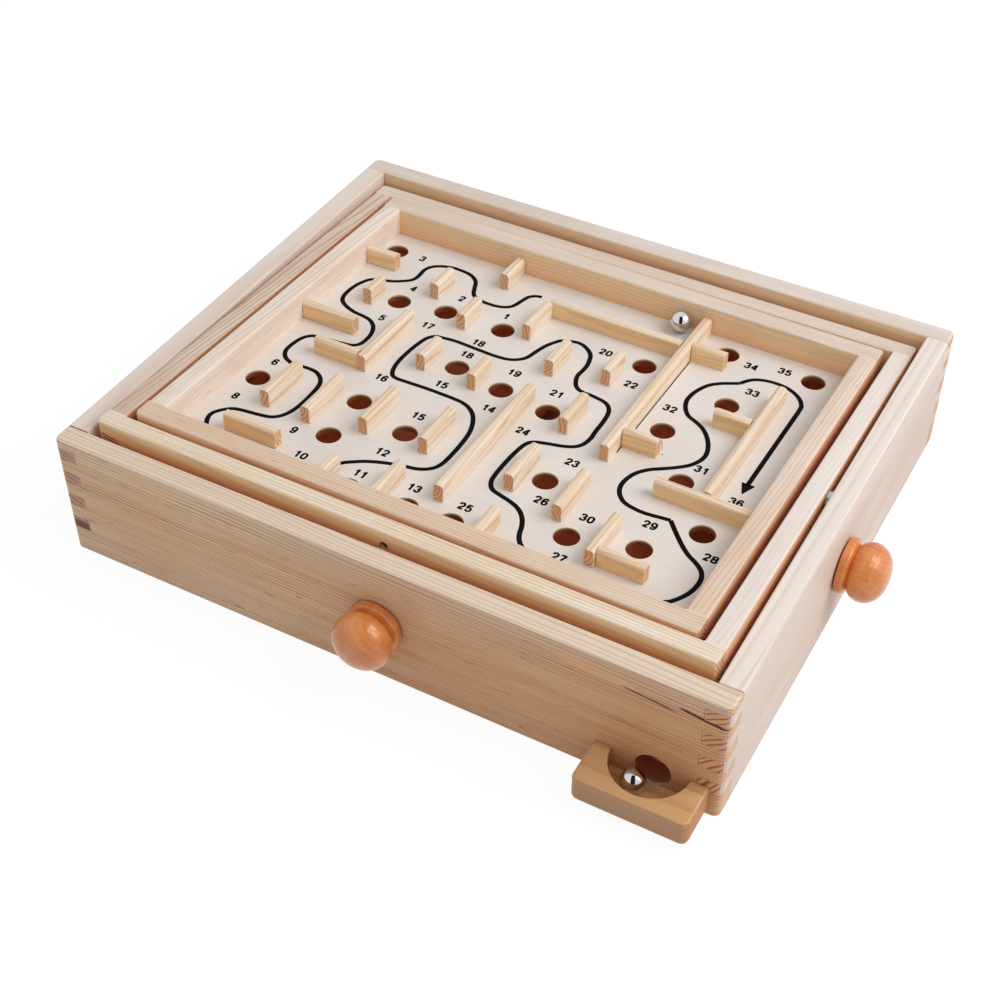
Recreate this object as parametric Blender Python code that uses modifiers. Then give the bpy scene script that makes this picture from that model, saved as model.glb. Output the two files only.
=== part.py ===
"""Wooden ball maze: a tray that tilts both ways in a finger-jointed box, worked by two knobs.

The origin is on the table, under the middle of the whole outline with its knob and cup. X runs
along the long front, Y runs from the front to the back and Z is up. All lengths are in metres.
The pieces are laid out about the middle of the box and are moved to the origin together.
"""

import math

import bmesh
import bpy
from mathutils import Matrix, Vector

# Box
BOX_LENGTH = 0.300
BOX_WIDTH = 0.250
BOX_HEIGHT = 0.060
WALL = 0.010
CORNER_ROUND = 0.003
RIM_ROUND = 0.0012
FINGER_COUNT = 4
FINGER_PITCH = 0.0125
FINGER_HEIGHT = 0.006

# Gaps between pieces
GLUE_GAP = 0.0002
SEAT_GAP = 0.0003
RUNNING_GAP = 0.00008
OVERRUN = 0.002

# Floor that leads fallen balls to the exit
FLOOR_LOW = 0.005
FLOOR_THICKNESS = 0.003
FLOOR_SLOPE_SHARE = 0.02

# Ball, exit and catch cup
BALL_DIAMETER = 0.010
EXIT_DIAMETER = 0.0151
EXIT_FROM_INSIDE = 0.0173
EXIT_ABOVE_FLOOR = 0.00675
CUP_LENGTH = 0.0472
CUP_DEPTH = 0.020
CUP_HEIGHT = 0.012
CUP_FOOT = 0.003
CUP_BESIDE_EXIT = 0.0008
CUP_CORNER = 0.003
CUP_EDGE = 0.0012
SCOOP_RADIUS = 0.0162
SCOOP_FLOOR = 0.005
CAUGHT_BALL_BESIDE = 0.0038
CAUGHT_BALL_OUT = 0.0068

# Pivots and the tilt at which the maze rests
PIVOT_BELOW_TOP = 0.007
REST_TILT_X = math.radians(-2.4)
REST_TILT_Y = math.radians(0.39)
PIN_DIAMETER = 0.004
PIN_INTO_FIXED_RAIL = 0.006
PIN_SHORT_OF_RAIL = 0.0005
PIN_IN_HOLE = 0.002
COLLAR_DIAMETER = 0.0092

# Middle frame
FRAME_SIDE_GAP = 0.0024
FRAME_END_GAP = 0.0034
FRAME_RAIL = 0.0085
FRAME_RAIL_HEIGHT = 0.018
FRAME_RIM = 0.007
RAIL_ROUND = 0.0008

# Tray
TRAY_SIDE_GAP = 0.0034
TRAY_END_GAP = 0.0016
TRAY_SIDE_RAIL = 0.0087
TRAY_END_RAIL = 0.0095
TRAY_RAIL_HEIGHT = 0.018
TRAY_RIM = 0.0082
BOARD_DROP = 0.0053
BOARD_THICKNESS = 0.003
BOARD_TONGUE = 0.0016
HOLE_DIAMETER = 0.011

# Maze strips
STRIP_WIDTH = 0.0046
STRIP_HEIGHT = 0.0083
STRIP_ROUND = 0.0016

# Knobs and shafts
SHAFT_DIAMETER = 0.005
SHAFT_BELOW_PIVOT = 0.0232
FRONT_KNOB_X = 0.0040
RIGHT_KNOB_Y = -0.0065
SHAFT_INTO_WALL = 0.006
SHAFT_INTO_KNOB = 0.012
KNOB_STANDOFF = 0.0006
KNOB_LENGTH = 0.0193
FLANGE_DIAMETER = 0.0238
FLANGE_THICKNESS = 0.0038
FLANGE_ROUND = 0.0007
DOME_DIAMETER = 0.0252
DOME_CENTRE = 0.0102
DOME_BACK = 0.0080
DOME_FULLNESS_SHARE = 0.8
DOME_START_ANGLE = math.radians(-46)

# Bearing post of the short right shaft
POST_FROM_INSIDE = 0.048
POST_SIDE = 0.012
POST_ABOVE_SHAFT = 0.0045
SHAFT_PAST_POST = 0.002

# Cords, guide eyes and springs
CORD_DIAMETER = 0.001
CORD_GAP = 0.0002
CORD_RUN_BELOW_SHAFT = 0.0058
CORD_TURNS = 3
CORD_PITCH = 0.0014
TRAY_CORD_Y = 0.005
FRAME_CORD_FROM_INSIDE = 0.028
EYE_WIRE = 0.0016
EYE_RADIUS = 0.0028
EYE_INTO_WALL = 0.006
CORD_HOLE_DIAMETER = 0.0018
CORD_IN_HOLE = 0.006
CORD_IN_BORE = 0.0006
SPRING_BORE_DIAMETER = 0.0044
SPRING_BORE_DEPTH = 0.011
SPRING_DIAMETER = 0.0034
SPRING_WIRE = 0.0005
SPRING_TURNS = 6
SPRING_PITCH = 0.0013

# Facets
ROD_SIDES = 24
PIN_SIDES = 16
HOLE_SIDES = 24
KNOB_STEPS = 32
BALL_SEGMENTS = 24
BALL_RINGS = 12
TURN_POINTS = 16
SPRING_POINTS = 8

# Sizes that follow from the ones above
HALF_LENGTH = BOX_LENGTH / 2
HALF_WIDTH = BOX_WIDTH / 2
INSIDE_X = HALF_LENGTH - WALL
INSIDE_Y = HALF_WIDTH - WALL
EXIT_X = INSIDE_X - EXIT_FROM_INSIDE
EXIT_HEIGHT = FLOOR_LOW + EXIT_ABOVE_FLOOR
CUP_X = EXIT_X - CUP_BESIDE_EXIT
CAUGHT_BALL_X = CUP_X - CAUGHT_BALL_BESIDE
CAUGHT_BALL_Y = -HALF_WIDTH - CAUGHT_BALL_OUT
PIVOT_HEIGHT = BOX_HEIGHT - PIVOT_BELOW_TOP
SHAFT_HEIGHT = PIVOT_HEIGHT - SHAFT_BELOW_PIVOT
CORD_RUN_HEIGHT = SHAFT_HEIGHT - CORD_RUN_BELOW_SHAFT
POST_X = INSIDE_X - POST_FROM_INSIDE
FRAME_CORD_X = INSIDE_X - FRAME_CORD_FROM_INSIDE
FRAME_X = INSIDE_X - FRAME_SIDE_GAP
FRAME_Y = INSIDE_Y - FRAME_END_GAP
FRAME_BOTTOM = FRAME_RIM - FRAME_RAIL_HEIGHT
TRAY_X = FRAME_X - FRAME_RAIL - TRAY_SIDE_GAP
TRAY_Y = FRAME_Y - FRAME_RAIL - TRAY_END_GAP
TRAY_BOTTOM = TRAY_RIM - TRAY_RAIL_HEIGHT
TRAY_INSIDE_X = TRAY_X - TRAY_SIDE_RAIL
TRAY_INSIDE_Y = TRAY_Y - TRAY_END_RAIL
BALL_RADIUS = BALL_DIAMETER / 2
SHAFT_RADIUS = SHAFT_DIAMETER / 2
PIN_RADIUS = PIN_DIAMETER / 2
CORD_RADIUS = CORD_DIAMETER / 2
WOUND_RADIUS = SHAFT_RADIUS + CORD_RADIUS + CORD_GAP
GUIDE_RADIUS = EYE_WIRE / 2 + CORD_RADIUS + CORD_GAP
GUIDE_HEIGHT = CORD_RUN_HEIGHT + GUIDE_RADIUS
TRAY_RAIL_LINE = TRAY_X - TRAY_SIDE_RAIL / 2
FRAME_RAIL_LINE = FRAME_Y - FRAME_RAIL / 2
ORIGIN_SHIFT = Vector((-(KNOB_STANDOFF + KNOB_LENGTH) / 2, CUP_DEPTH / 2, 0))

# Maze strips, one group for each solid piece. DOWN strips stand at a share of the tray's inside
# half length and run from front to back, ACROSS strips the other way. A share of 1 meets the rail.
DOWN = "down"
ACROSS = "across"
STRIP_SHARES = {
    "maze_strip_back_left": ((DOWN, -0.427, 0.820, 1.0),),
    "maze_strip_2": ((DOWN, -0.633, 0.5605, 0.7306),),
    "maze_strip_left_rail_back": ((ACROSS, 0.6957, -1.0, -0.8655),),
    "maze_strip_4": ((DOWN, -0.840, 0.348, 0.485),),
    "maze_strip_5": ((DOWN, -0.436, 0.395, 0.567),),
    "maze_strip_left_rail_middle": ((ACROSS, 0.1014, -1.0, -0.768),),
    "maze_corner_left": ((DOWN, -0.6195, -0.155, 0.301), (ACROSS, -0.1265, -0.831, -0.6195)),
    "maze_strip_8": ((DOWN, -0.433, 0.0, 0.172),),
    "maze_strip_9": ((DOWN, -0.209, -0.013, 0.145),),
    "maze_strip_10": ((DOWN, -0.801, -0.617, -0.338),),
    "maze_strip_11": ((DOWN, -0.622, -0.625, -0.330),),
    "maze_strip_12": ((DOWN, -0.4105, -0.558, -0.273),),
    "maze_strip_13": ((DOWN, -0.169, -0.543, -0.278),),
    "maze_strip_14": ((ACROSS, -0.831, -0.848, -0.6255),),
    "maze_strip_front_left": ((DOWN, -0.380, -1.0, -0.840),),
    "maze_strip_front_middle": ((DOWN, -0.169, -1.0, -0.725),),
    "maze_strip_front_right": ((DOWN, 0.2314, -1.0, -0.785),),
    "maze_strip_long_middle": ((DOWN, 0.011, -0.793, 0.0654),),
    "maze_strip_19": ((DOWN, 0.190, -0.5735, -0.316),),
    "maze_strip_20": ((DOWN, 0.4053, -0.6465, -0.360),),
    "maze_corner_front_right": ((DOWN, 0.6007, -0.835, -0.556), (ACROSS, -0.797, 0.6007, 0.7986)),
    "maze_branch_right": (
        (DOWN, 0.8166, -0.264, 0.654), (ACROSS, -0.264, 0.633, 1.0), (ACROSS, 0.3337, 0.654, 0.8166)),
    "maze_branch_start": (
        (DOWN, 0.3993, -0.171, 1.0), (ACROSS, -0.0142, 0.3993, 0.557),
        (ACROSS, 0.7634, 0.3993, 0.557), (ACROSS, 0.7426, -0.1851, 0.3993),
        (DOWN, -0.1851, 0.482, 0.7426)),
    "maze_strip_24": ((DOWN, -0.0026, 0.275, 0.474),),
    "maze_strip_25": ((DOWN, 0.208, 0.3455, 0.5125),),
    "maze_strip_26": ((DOWN, 0.205, -0.089, 0.131),),
}

# Holes in the board, as shares of the tray's inside half length and half width
HOLE_SHARES = (
    (-0.290, 0.492), (-0.542, 0.483), (-0.937, 0.840), (-0.737, 0.444), (-0.922, -0.451),
    (-0.520, -0.364), (-0.508, -0.647), (-0.298, -0.911), (-0.280, -0.458), (-0.071, -0.894),
    (-0.319, 0.104), (-0.110, 0.056), (0.102, 0.017), (0.285, 0.580), (0.101, -0.883),
    (0.276, -0.430), (0.473, -0.712), (0.861, -0.400), (0.710, -0.627), (0.687, -0.131),
    (0.510, 0.166), (0.652, 0.495), (0.527, 0.878), (0.876, 0.880),
)

# Start ball: its place along the start lane, as a share of the tray's inside half length
START_BALL_SHARE = 0.304

PARTS_COLLECTION = "wooden_ball_maze"
CUTTERS_COLLECTION = "maze_cutters"


class Workshop:
    """Holds the two collections and the finishes that the pieces share."""

    def __init__(self):
        for thing in list(bpy.data.objects):
            bpy.data.objects.remove(thing, do_unlink=True)
        self.parts = self.collection(PARTS_COLLECTION)
        self.cutters = self.collection(CUTTERS_COLLECTION)
        self.wall_pine = finish("box_pine", (0.80, 0.62, 0.45), 0.55)
        self.rail_pine = finish("frame_pine", (0.84, 0.67, 0.50), 0.55)
        self.strip_pine = finish("strip_pine", (0.86, 0.72, 0.56), 0.5)
        self.board_finish = finish("painted_board", (0.86, 0.80, 0.76), 0.45)
        self.plywood = finish("floor_plywood", (0.72, 0.50, 0.32), 0.7)
        self.lacquer = finish("knob_lacquer", (0.72, 0.36, 0.13), 0.25)
        self.steel = finish("polished_steel", (0.78, 0.78, 0.80), 0.12, 1.0)
        self.wire_steel = finish("wire_steel", (0.62, 0.62, 0.64), 0.35, 1.0)
        self.cotton = finish("cotton_cord", (0.10, 0.10, 0.11), 0.9)

    def collection(self, name):
        """Make one collection and link it to the scene."""
        made = bpy.data.collections.new(name)
        bpy.context.scene.collection.children.link(made)
        return made

    def add(self, name, mesh_data, material, parent=None, smooth_angle=None):
        """Put a named piece with its own material in the parts collection."""
        piece = bpy.data.objects.new(name, mesh_data)
        self.parts.objects.link(piece)
        piece.data.materials.append(own_finish(material, name))
        piece.parent = parent
        if smooth_angle is not None:
            shade_round(piece.data, smooth_angle)
        return piece

    def tool(self, name, mesh_data, parent=None):
        """Put a cutter or a piece to be joined in the cutters collection, unseen in renders."""
        cutter = bpy.data.objects.new(name, mesh_data)
        self.cutters.objects.link(cutter)
        cutter.parent = parent
        cutter.hide_render = True
        cutter.display_type = "WIRE"
        return cutter

    def move_all(self, shift):
        """Move every piece, axis and cutter that has no parent by the same step."""
        for thing in list(self.parts.objects) + list(self.cutters.objects):
            if thing.parent is None:
                thing.location += shift

    def axis(self, name, place, turn, parent=None):
        """Make the empty that a moving group hangs on."""
        empty = bpy.data.objects.new(name, None)
        self.parts.objects.link(empty)
        empty.location = place
        empty.rotation_euler = turn
        empty.parent = parent
        return empty


SMOOTH_ANGLE = math.radians(40)
MERGE_DISTANCE = 0.00001
ROUND_PROFILE_SHARE = 0.5


def finish(name, colour, roughness, metallic=0.0):
    """Describe one finish; every piece gets its own copy of it."""
    return {"name": name, "colour": colour, "roughness": roughness, "metallic": metallic}


def own_finish(described, piece_name):
    """Make the Principled material of one piece from a described finish."""
    made = bpy.data.materials.new(described["name"] + "_" + piece_name)
    made.use_nodes = True
    shader = made.node_tree.nodes["Principled BSDF"]
    shader.inputs["Base Color"].default_value = (*described["colour"], 1.0)
    shader.inputs["Roughness"].default_value = described["roughness"]
    shader.inputs["Metallic"].default_value = described["metallic"]
    made.diffuse_color = (*described["colour"], 1.0)
    return made


def shade_round(mesh_data, angle):
    """Shade a round piece smooth, with edges sharper than the angle left sharp."""
    mesh_data.shade_smooth()
    mesh_data.set_sharp_from_angle(angle=angle)


def to_mesh(name, shape):
    """Write a bmesh out as mesh data."""
    made = bpy.data.meshes.new(name)
    bmesh.ops.recalc_face_normals(shape, faces=shape.faces)
    shape.to_mesh(made)
    shape.free()
    return made


def add_block(shape, low, high):
    """Add a box between two corners to a bmesh and return its vertices."""
    low, high = Vector(low), Vector(high)
    size = high - low
    place = Matrix.Translation((low + high) / 2) @ Matrix.Diagonal((*size, 1.0))
    return bmesh.ops.create_cube(shape, size=1.0, matrix=place)["verts"]


def add_rod(shape, start, end, radius, sides):
    """Add a closed rod between two points to a bmesh."""
    start, end = Vector(start), Vector(end)
    along = end - start
    turn = along.to_track_quat("Z", "Y").to_matrix().to_4x4()
    place = Matrix.Translation((start + end) / 2) @ turn
    bmesh.ops.create_cone(
        shape, cap_ends=True, cap_tris=False, segments=sides,
        radius1=radius, radius2=radius, depth=along.length, matrix=place)


def round_edges(shape, radius, segments, chosen):
    """Round the edges of a bmesh for which chosen is true."""
    edges = [edge for edge in shape.edges if chosen(edge.verts[0].co, edge.verts[1].co)]
    bmesh.ops.bevel(
        shape, geom=edges, offset=radius, segments=segments, profile=ROUND_PROFILE_SHARE, affect="EDGES")


def same(a, b):
    """Whether two coordinates are the same place."""
    return math.isclose(a, b, abs_tol=SEAT_GAP / 100)


def block_mesh(name, low, high, radius=None, segments=2, chosen=None):
    """Mesh of a box between two corners, with chosen edges rounded."""
    shape = bmesh.new()
    add_block(shape, low, high)
    if chosen is not None:
        round_edges(shape, radius, segments, chosen)
    return to_mesh(name, shape)


def rods_mesh(name, rods, sides):
    """Mesh of separate rods, each a start, an end and a radius."""
    shape = bmesh.new()
    for start, end, radius in rods:
        add_rod(shape, start, end, radius, sides)
    return to_mesh(name, shape)


def combine(piece, other, operation):
    """Cut or join another object into a piece."""
    modifier = piece.modifiers.new(operation.lower() + "_" + other.name, "BOOLEAN")
    modifier.operation = operation
    modifier.solver = "EXACT"
    modifier.object = other


def bore_radius(radius, gap, sides):
    """Radius of a faceted bore that clears a rod of the given radius by the gap."""
    return (radius + gap) / math.cos(math.pi / sides)


def top_edges(top, along):
    """Choose the upper edges that run along one axis: 0 for X, 1 for Y."""
    return lambda a, b: same(a.z, top) and same(b.z, top) and not same(a[along], b[along])


def finger_starts():
    """Heights at which the side walls' fingers begin."""
    return [FINGER_PITCH * (count + 1) for count in range(FINGER_COUNT)]


def box_outline(shop):
    """The box's outer form with rounded corners, which trims all four walls."""
    shape = bmesh.new()
    add_block(shape, (-HALF_LENGTH, -HALF_WIDTH, 0), (HALF_LENGTH, HALF_WIDTH, BOX_HEIGHT))
    round_edges(shape, CORNER_ROUND, 4, lambda a, b: not same(a.z, b.z))
    round_edges(shape, RIM_ROUND, 2, lambda a, b: same(a.z, BOX_HEIGHT) and same(b.z, BOX_HEIGHT))
    return shop.tool("outline_of_box", to_mesh("outline_of_box", shape))


def finger_slots(shop):
    """Slots in the front and back walls that the side walls' fingers fill."""
    shape = bmesh.new()
    for start in finger_starts():
        for side in (-1, 1):
            near = side * (INSIDE_X - GLUE_GAP)
            far = side * (HALF_LENGTH + OVERRUN)
            low = (min(near, far), -HALF_WIDTH - OVERRUN, start - GLUE_GAP)
            high = (max(near, far), HALF_WIDTH + OVERRUN, start + FINGER_HEIGHT + GLUE_GAP)
            add_block(shape, low, high)
    return shop.tool("slots_for_fingers", to_mesh("slots_for_fingers", shape))


def finger_gaps(shop):
    """What is cut from the ends of the side walls, which leaves their fingers."""
    tops = [-OVERRUN] + [start + FINGER_HEIGHT for start in finger_starts()]
    bottoms = finger_starts() + [BOX_HEIGHT + OVERRUN]
    shape = bmesh.new()
    for low_z, high_z in zip(tops, bottoms):
        for side in (-1, 1):
            near = side * (INSIDE_Y - GLUE_GAP)
            far = side * (HALF_WIDTH + OVERRUN)
            low = (-HALF_LENGTH - OVERRUN, min(near, far), low_z)
            add_block(shape, low, (HALF_LENGTH + OVERRUN, max(near, far), high_z))
    return shop.tool("gaps_between_fingers", to_mesh("gaps_between_fingers", shape))


def eye_line(side, along_x):
    """Start in the wall and far end of a guide eye's shank, on the left, right, front or back."""
    ring = eye_ring_centre(side, along_x)
    wall_face = INSIDE_X if along_x else INSIDE_Y
    depth = wall_face + EYE_INTO_WALL
    tail = Vector((side * depth, ring.y, ring.z)) if along_x else Vector((ring.x, side * depth, ring.z))
    return ring, tail


def eye_ring_centre(side, along_x):
    """Centre of a guide eye's ring: its inner side carries the cord where it turns up."""
    line = TRAY_RAIL_LINE if along_x else FRAME_RAIL_LINE
    reach = side * (line - GUIDE_RADIUS + EYE_RADIUS)
    if along_x:
        return Vector((reach, TRAY_CORD_Y, GUIDE_HEIGHT))
    return Vector((FRAME_CORD_X, reach, GUIDE_HEIGHT))


def wall_bores(shop):
    """One cutter each for the holes of the front, back, left and right wall."""
    shaft = bore_radius(SHAFT_RADIUS, RUNNING_GAP, ROD_SIDES)
    pin = bore_radius(PIN_RADIUS, GLUE_GAP, PIN_SIDES)
    wire = bore_radius(EYE_WIRE / 2, GLUE_GAP, PIN_SIDES)
    front_out = -HALF_WIDTH - OVERRUN
    front_in = -INSIDE_Y + OVERRUN
    cutters = {}
    big = {
        "front": [
            ((FRONT_KNOB_X, front_out, SHAFT_HEIGHT), (FRONT_KNOB_X, front_in, SHAFT_HEIGHT), shaft),
            ((EXIT_X, front_out, EXIT_HEIGHT), (EXIT_X, front_in, EXIT_HEIGHT), EXIT_DIAMETER / 2)],
        "back": [
            ((FRONT_KNOB_X, INSIDE_Y - OVERRUN, SHAFT_HEIGHT),
             (FRONT_KNOB_X, INSIDE_Y + SHAFT_INTO_WALL + SEAT_GAP, SHAFT_HEIGHT), shaft)],
        "right": [
            ((INSIDE_X - OVERRUN, RIGHT_KNOB_Y, SHAFT_HEIGHT),
             (HALF_LENGTH + OVERRUN, RIGHT_KNOB_Y, SHAFT_HEIGHT), shaft)],
        "left": [],
    }
    eyes = {"front": (-1, False), "back": (1, False), "right": (1, True), "left": (-1, True)}
    for wall, (side, along_x) in eyes.items():
        ring, tail = eye_line(side, along_x)
        outward = (tail - ring).normalized()
        small = [(ring, tail + outward * SEAT_GAP, wire)]
        if along_x:
            mouth = Vector((side * (INSIDE_X - OVERRUN), 0, PIVOT_HEIGHT))
            end = Vector((side * (INSIDE_X + PIN_INTO_FIXED_RAIL + SEAT_GAP), 0, PIVOT_HEIGHT))
            small.append((mouth, end, pin))
        cutters[wall] = [shop.tool(wall + "_wall_small_bores", rods_mesh(wall, small, PIN_SIDES))]
        if big[wall]:
            cutters[wall].append(shop.tool(wall + "_wall_bores", rods_mesh(wall, big[wall], ROD_SIDES)))
    return cutters


def inside_rim_edge(across, inner):
    """Choose a wall's upper inner edge. 'across' is the axis through its thickness."""
    def chosen(a, b):
        on_top = same(a.z, BOX_HEIGHT) and same(b.z, BOX_HEIGHT)
        return on_top and same(a[across], inner) and same(b[across], inner)
    return chosen


def build_wall(shop, side, low, high, across, inner, cutters):
    """One wall of the box with a softened inner rim, cut by its fingers and bores."""
    blank = block_mesh(side + "_wall", low, high, RAIL_ROUND, 2, inside_rim_edge(across, inner))
    piece = shop.add(side + "_wall", blank, shop.wall_pine)
    for cutter, operation in cutters:
        combine(piece, cutter, operation)


def build_box(shop):
    """The four walls of the box, with their finger joints and bores."""
    outline, slots, gaps = box_outline(shop), finger_slots(shop), finger_gaps(shop)
    bores = {side: [(cutter, "DIFFERENCE") for cutter in cutters]
             for side, cutters in wall_bores(shop).items()}
    long_cuts = [(outline, "INTERSECT"), (slots, "DIFFERENCE")]
    short_cuts = [(outline, "INTERSECT"), (gaps, "DIFFERENCE")]
    build_wall(shop, "front", (-HALF_LENGTH, -HALF_WIDTH, 0), (HALF_LENGTH, -INSIDE_Y, BOX_HEIGHT),
               1, -INSIDE_Y, long_cuts + bores["front"])
    build_wall(shop, "back", (-HALF_LENGTH, INSIDE_Y, 0), (HALF_LENGTH, HALF_WIDTH, BOX_HEIGHT),
               1, INSIDE_Y, long_cuts + bores["back"])
    build_wall(shop, "left", (-HALF_LENGTH, -HALF_WIDTH, 0), (-INSIDE_X, HALF_WIDTH, BOX_HEIGHT),
               0, -INSIDE_X, short_cuts + bores["left"])
    build_wall(shop, "right", (INSIDE_X, -HALF_WIDTH, 0), (HALF_LENGTH, HALF_WIDTH, BOX_HEIGHT),
               0, INSIDE_X, short_cuts + bores["right"])


def floor_top(x, y):
    """Height of the sloping floor's upper face."""
    return FLOOR_LOW + FLOOR_SLOPE_SHARE * (INSIDE_X - x) + FLOOR_SLOPE_SHARE * (y + INSIDE_Y)


def build_floor(shop):
    """The floor, a plate sheared so that it falls to the front right corner."""
    shape = bmesh.new()
    edge_x, edge_y = INSIDE_X - SEAT_GAP, INSIDE_Y - SEAT_GAP
    add_block(shape, (-edge_x, -edge_y, -FLOOR_THICKNESS), (edge_x, edge_y, 0))
    for vertex in shape.verts:
        vertex.co.z += floor_top(vertex.co.x, vertex.co.y)
    shop.add("sloping_floor", to_mesh("sloping_floor", shape), shop.plywood)


def build_post(shop):
    """The post that carries the inner end of the right knob's shaft."""
    shape = bmesh.new()
    half = POST_SIDE / 2
    low = (POST_X - half, RIGHT_KNOB_Y - half, 0)
    high = (POST_X + half, RIGHT_KNOB_Y + half, SHAFT_HEIGHT + POST_ABOVE_SHAFT)
    for vertex in add_block(shape, low, high):
        if vertex.co.z < SHAFT_HEIGHT:
            vertex.co.z = floor_top(vertex.co.x, vertex.co.y) + SEAT_GAP
    post = shop.add("right_shaft_post", to_mesh("right_shaft_post", shape), shop.strip_pine)
    start = (low[0] - OVERRUN, RIGHT_KNOB_Y, SHAFT_HEIGHT)
    end = (high[0] + OVERRUN, RIGHT_KNOB_Y, SHAFT_HEIGHT)
    radius = bore_radius(SHAFT_RADIUS, RUNNING_GAP, ROD_SIDES)
    combine(post, shop.tool("post_bore", rods_mesh("post_bore", [(start, end, radius)], ROD_SIDES)),
            "DIFFERENCE")


def build_cup(shop):
    """The cup outside the exit: a block with a half-round scoop."""
    back = -HALF_WIDTH - SEAT_GAP
    front = -HALF_WIDTH - CUP_DEPTH
    left, right = CUP_X - CUP_LENGTH / 2, CUP_X + CUP_LENGTH / 2
    top = CUP_FOOT + CUP_HEIGHT
    shape = bmesh.new()
    add_block(shape, (left, front, CUP_FOOT), (right, back, top))
    round_edges(shape, CUP_CORNER, 4, lambda a, b: same(a.y, front) and same(b.y, front) and same(a.x, b.x))
    round_edges(shape, CUP_EDGE, 2, lambda a, b: same(a.z, b.z) and not (same(a.y, back) and same(b.y, back)))
    cup = shop.add("catch_cup", to_mesh("catch_cup", shape), shop.rail_pine)
    start, end = (CUP_X, -HALF_WIDTH, SCOOP_FLOOR), (CUP_X, -HALF_WIDTH, top + OVERRUN)
    scoop = rods_mesh("scoop", [(start, end, SCOOP_RADIUS)], 2 * ROD_SIDES)
    combine(cup, shop.tool("scoop", scoop), "DIFFERENCE")


def build_rails(shop, name, parent, outer, inside_y, side_inside, bottom, rim):
    """Four rails of a frame: front and back run the full length, the sides fit between them."""
    outer_x, outer_y = outer
    rails = {}
    for side, place in ((-1, "front"), (1, "back")):
        near, far = side * inside_y, side * outer_y
        low = (-outer_x, min(near, far), bottom)
        blank = block_mesh(
            name, low, (outer_x, max(near, far), rim), RAIL_ROUND, 2, top_edges(rim, 0))
        rails[place] = shop.add(name + "_" + place + "_rail", blank, shop.rail_pine, parent)
    end_y = inside_y - GLUE_GAP
    for side, place in ((-1, "left"), (1, "right")):
        near, far = side * side_inside, side * outer_x
        low = (min(near, far), -end_y, bottom)
        blank = block_mesh(
            name, low, (max(near, far), end_y, rim), RAIL_ROUND, 2, top_edges(rim, 1))
        rails[place] = shop.add(name + "_" + place + "_rail", blank, shop.rail_pine, parent)
    return rails


def build_middle_frame(shop, axis):
    """The frame that rocks in the side walls, with the bores for pins, cord and spring."""
    inside_x, inside_y = FRAME_X - FRAME_RAIL, FRAME_Y - FRAME_RAIL
    rails = build_rails(
        shop, "middle_frame", axis, (FRAME_X, FRAME_Y), inside_y, inside_x, FRAME_BOTTOM, FRAME_RIM)
    running = bore_radius(PIN_RADIUS, RUNNING_GAP, PIN_SIDES)
    glued = bore_radius(PIN_RADIUS, GLUE_GAP, PIN_SIDES)
    for side, place in ((-1, "left"), (1, "right")):
        pins = [((side * (inside_x - OVERRUN), 0, 0), (side * (FRAME_X + OVERRUN), 0, 0), running)]
        bores = shop.tool("frame_" + place + "_pin_bore", rods_mesh("pin", pins, PIN_SIDES), axis)
        combine(rails[place], bores, "DIFFERENCE")
    for side, place in ((-1, "front"), (1, "back")):
        pins = [((0, side * (inside_y - OVERRUN), 0), (0, side * (FRAME_Y + OVERRUN), 0), glued)]
        bores = shop.tool("frame_" + place + "_pin_bore", rods_mesh("pin", pins, PIN_SIDES), axis)
        combine(rails[place], bores, "DIFFERENCE")
    ends = cord_holes(FRAME_BOTTOM)
    for side, place in ((-1, "front"), (1, "back")):
        radius, depth = ends[side]
        mouth = Vector((FRAME_CORD_X, side * FRAME_RAIL_LINE, FRAME_BOTTOM - OVERRUN))
        end = Vector((FRAME_CORD_X, side * FRAME_RAIL_LINE, depth))
        hole = rods_mesh("cord_hole", [(mouth, end, radius)], PIN_SIDES)
        combine(rails[place], shop.tool("frame_" + place + "_cord_hole", hole, axis), "DIFFERENCE")


def cord_holes(bottom):
    """Radius and upper end of the cord's plain hole, at -1, and of the spring's bore, at 1."""
    return {
        -1: (CORD_HOLE_DIAMETER / 2, bottom + CORD_IN_HOLE + SEAT_GAP),
        1: (SPRING_BORE_DIAMETER / 2, bottom + SPRING_BORE_DEPTH),
    }


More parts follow.
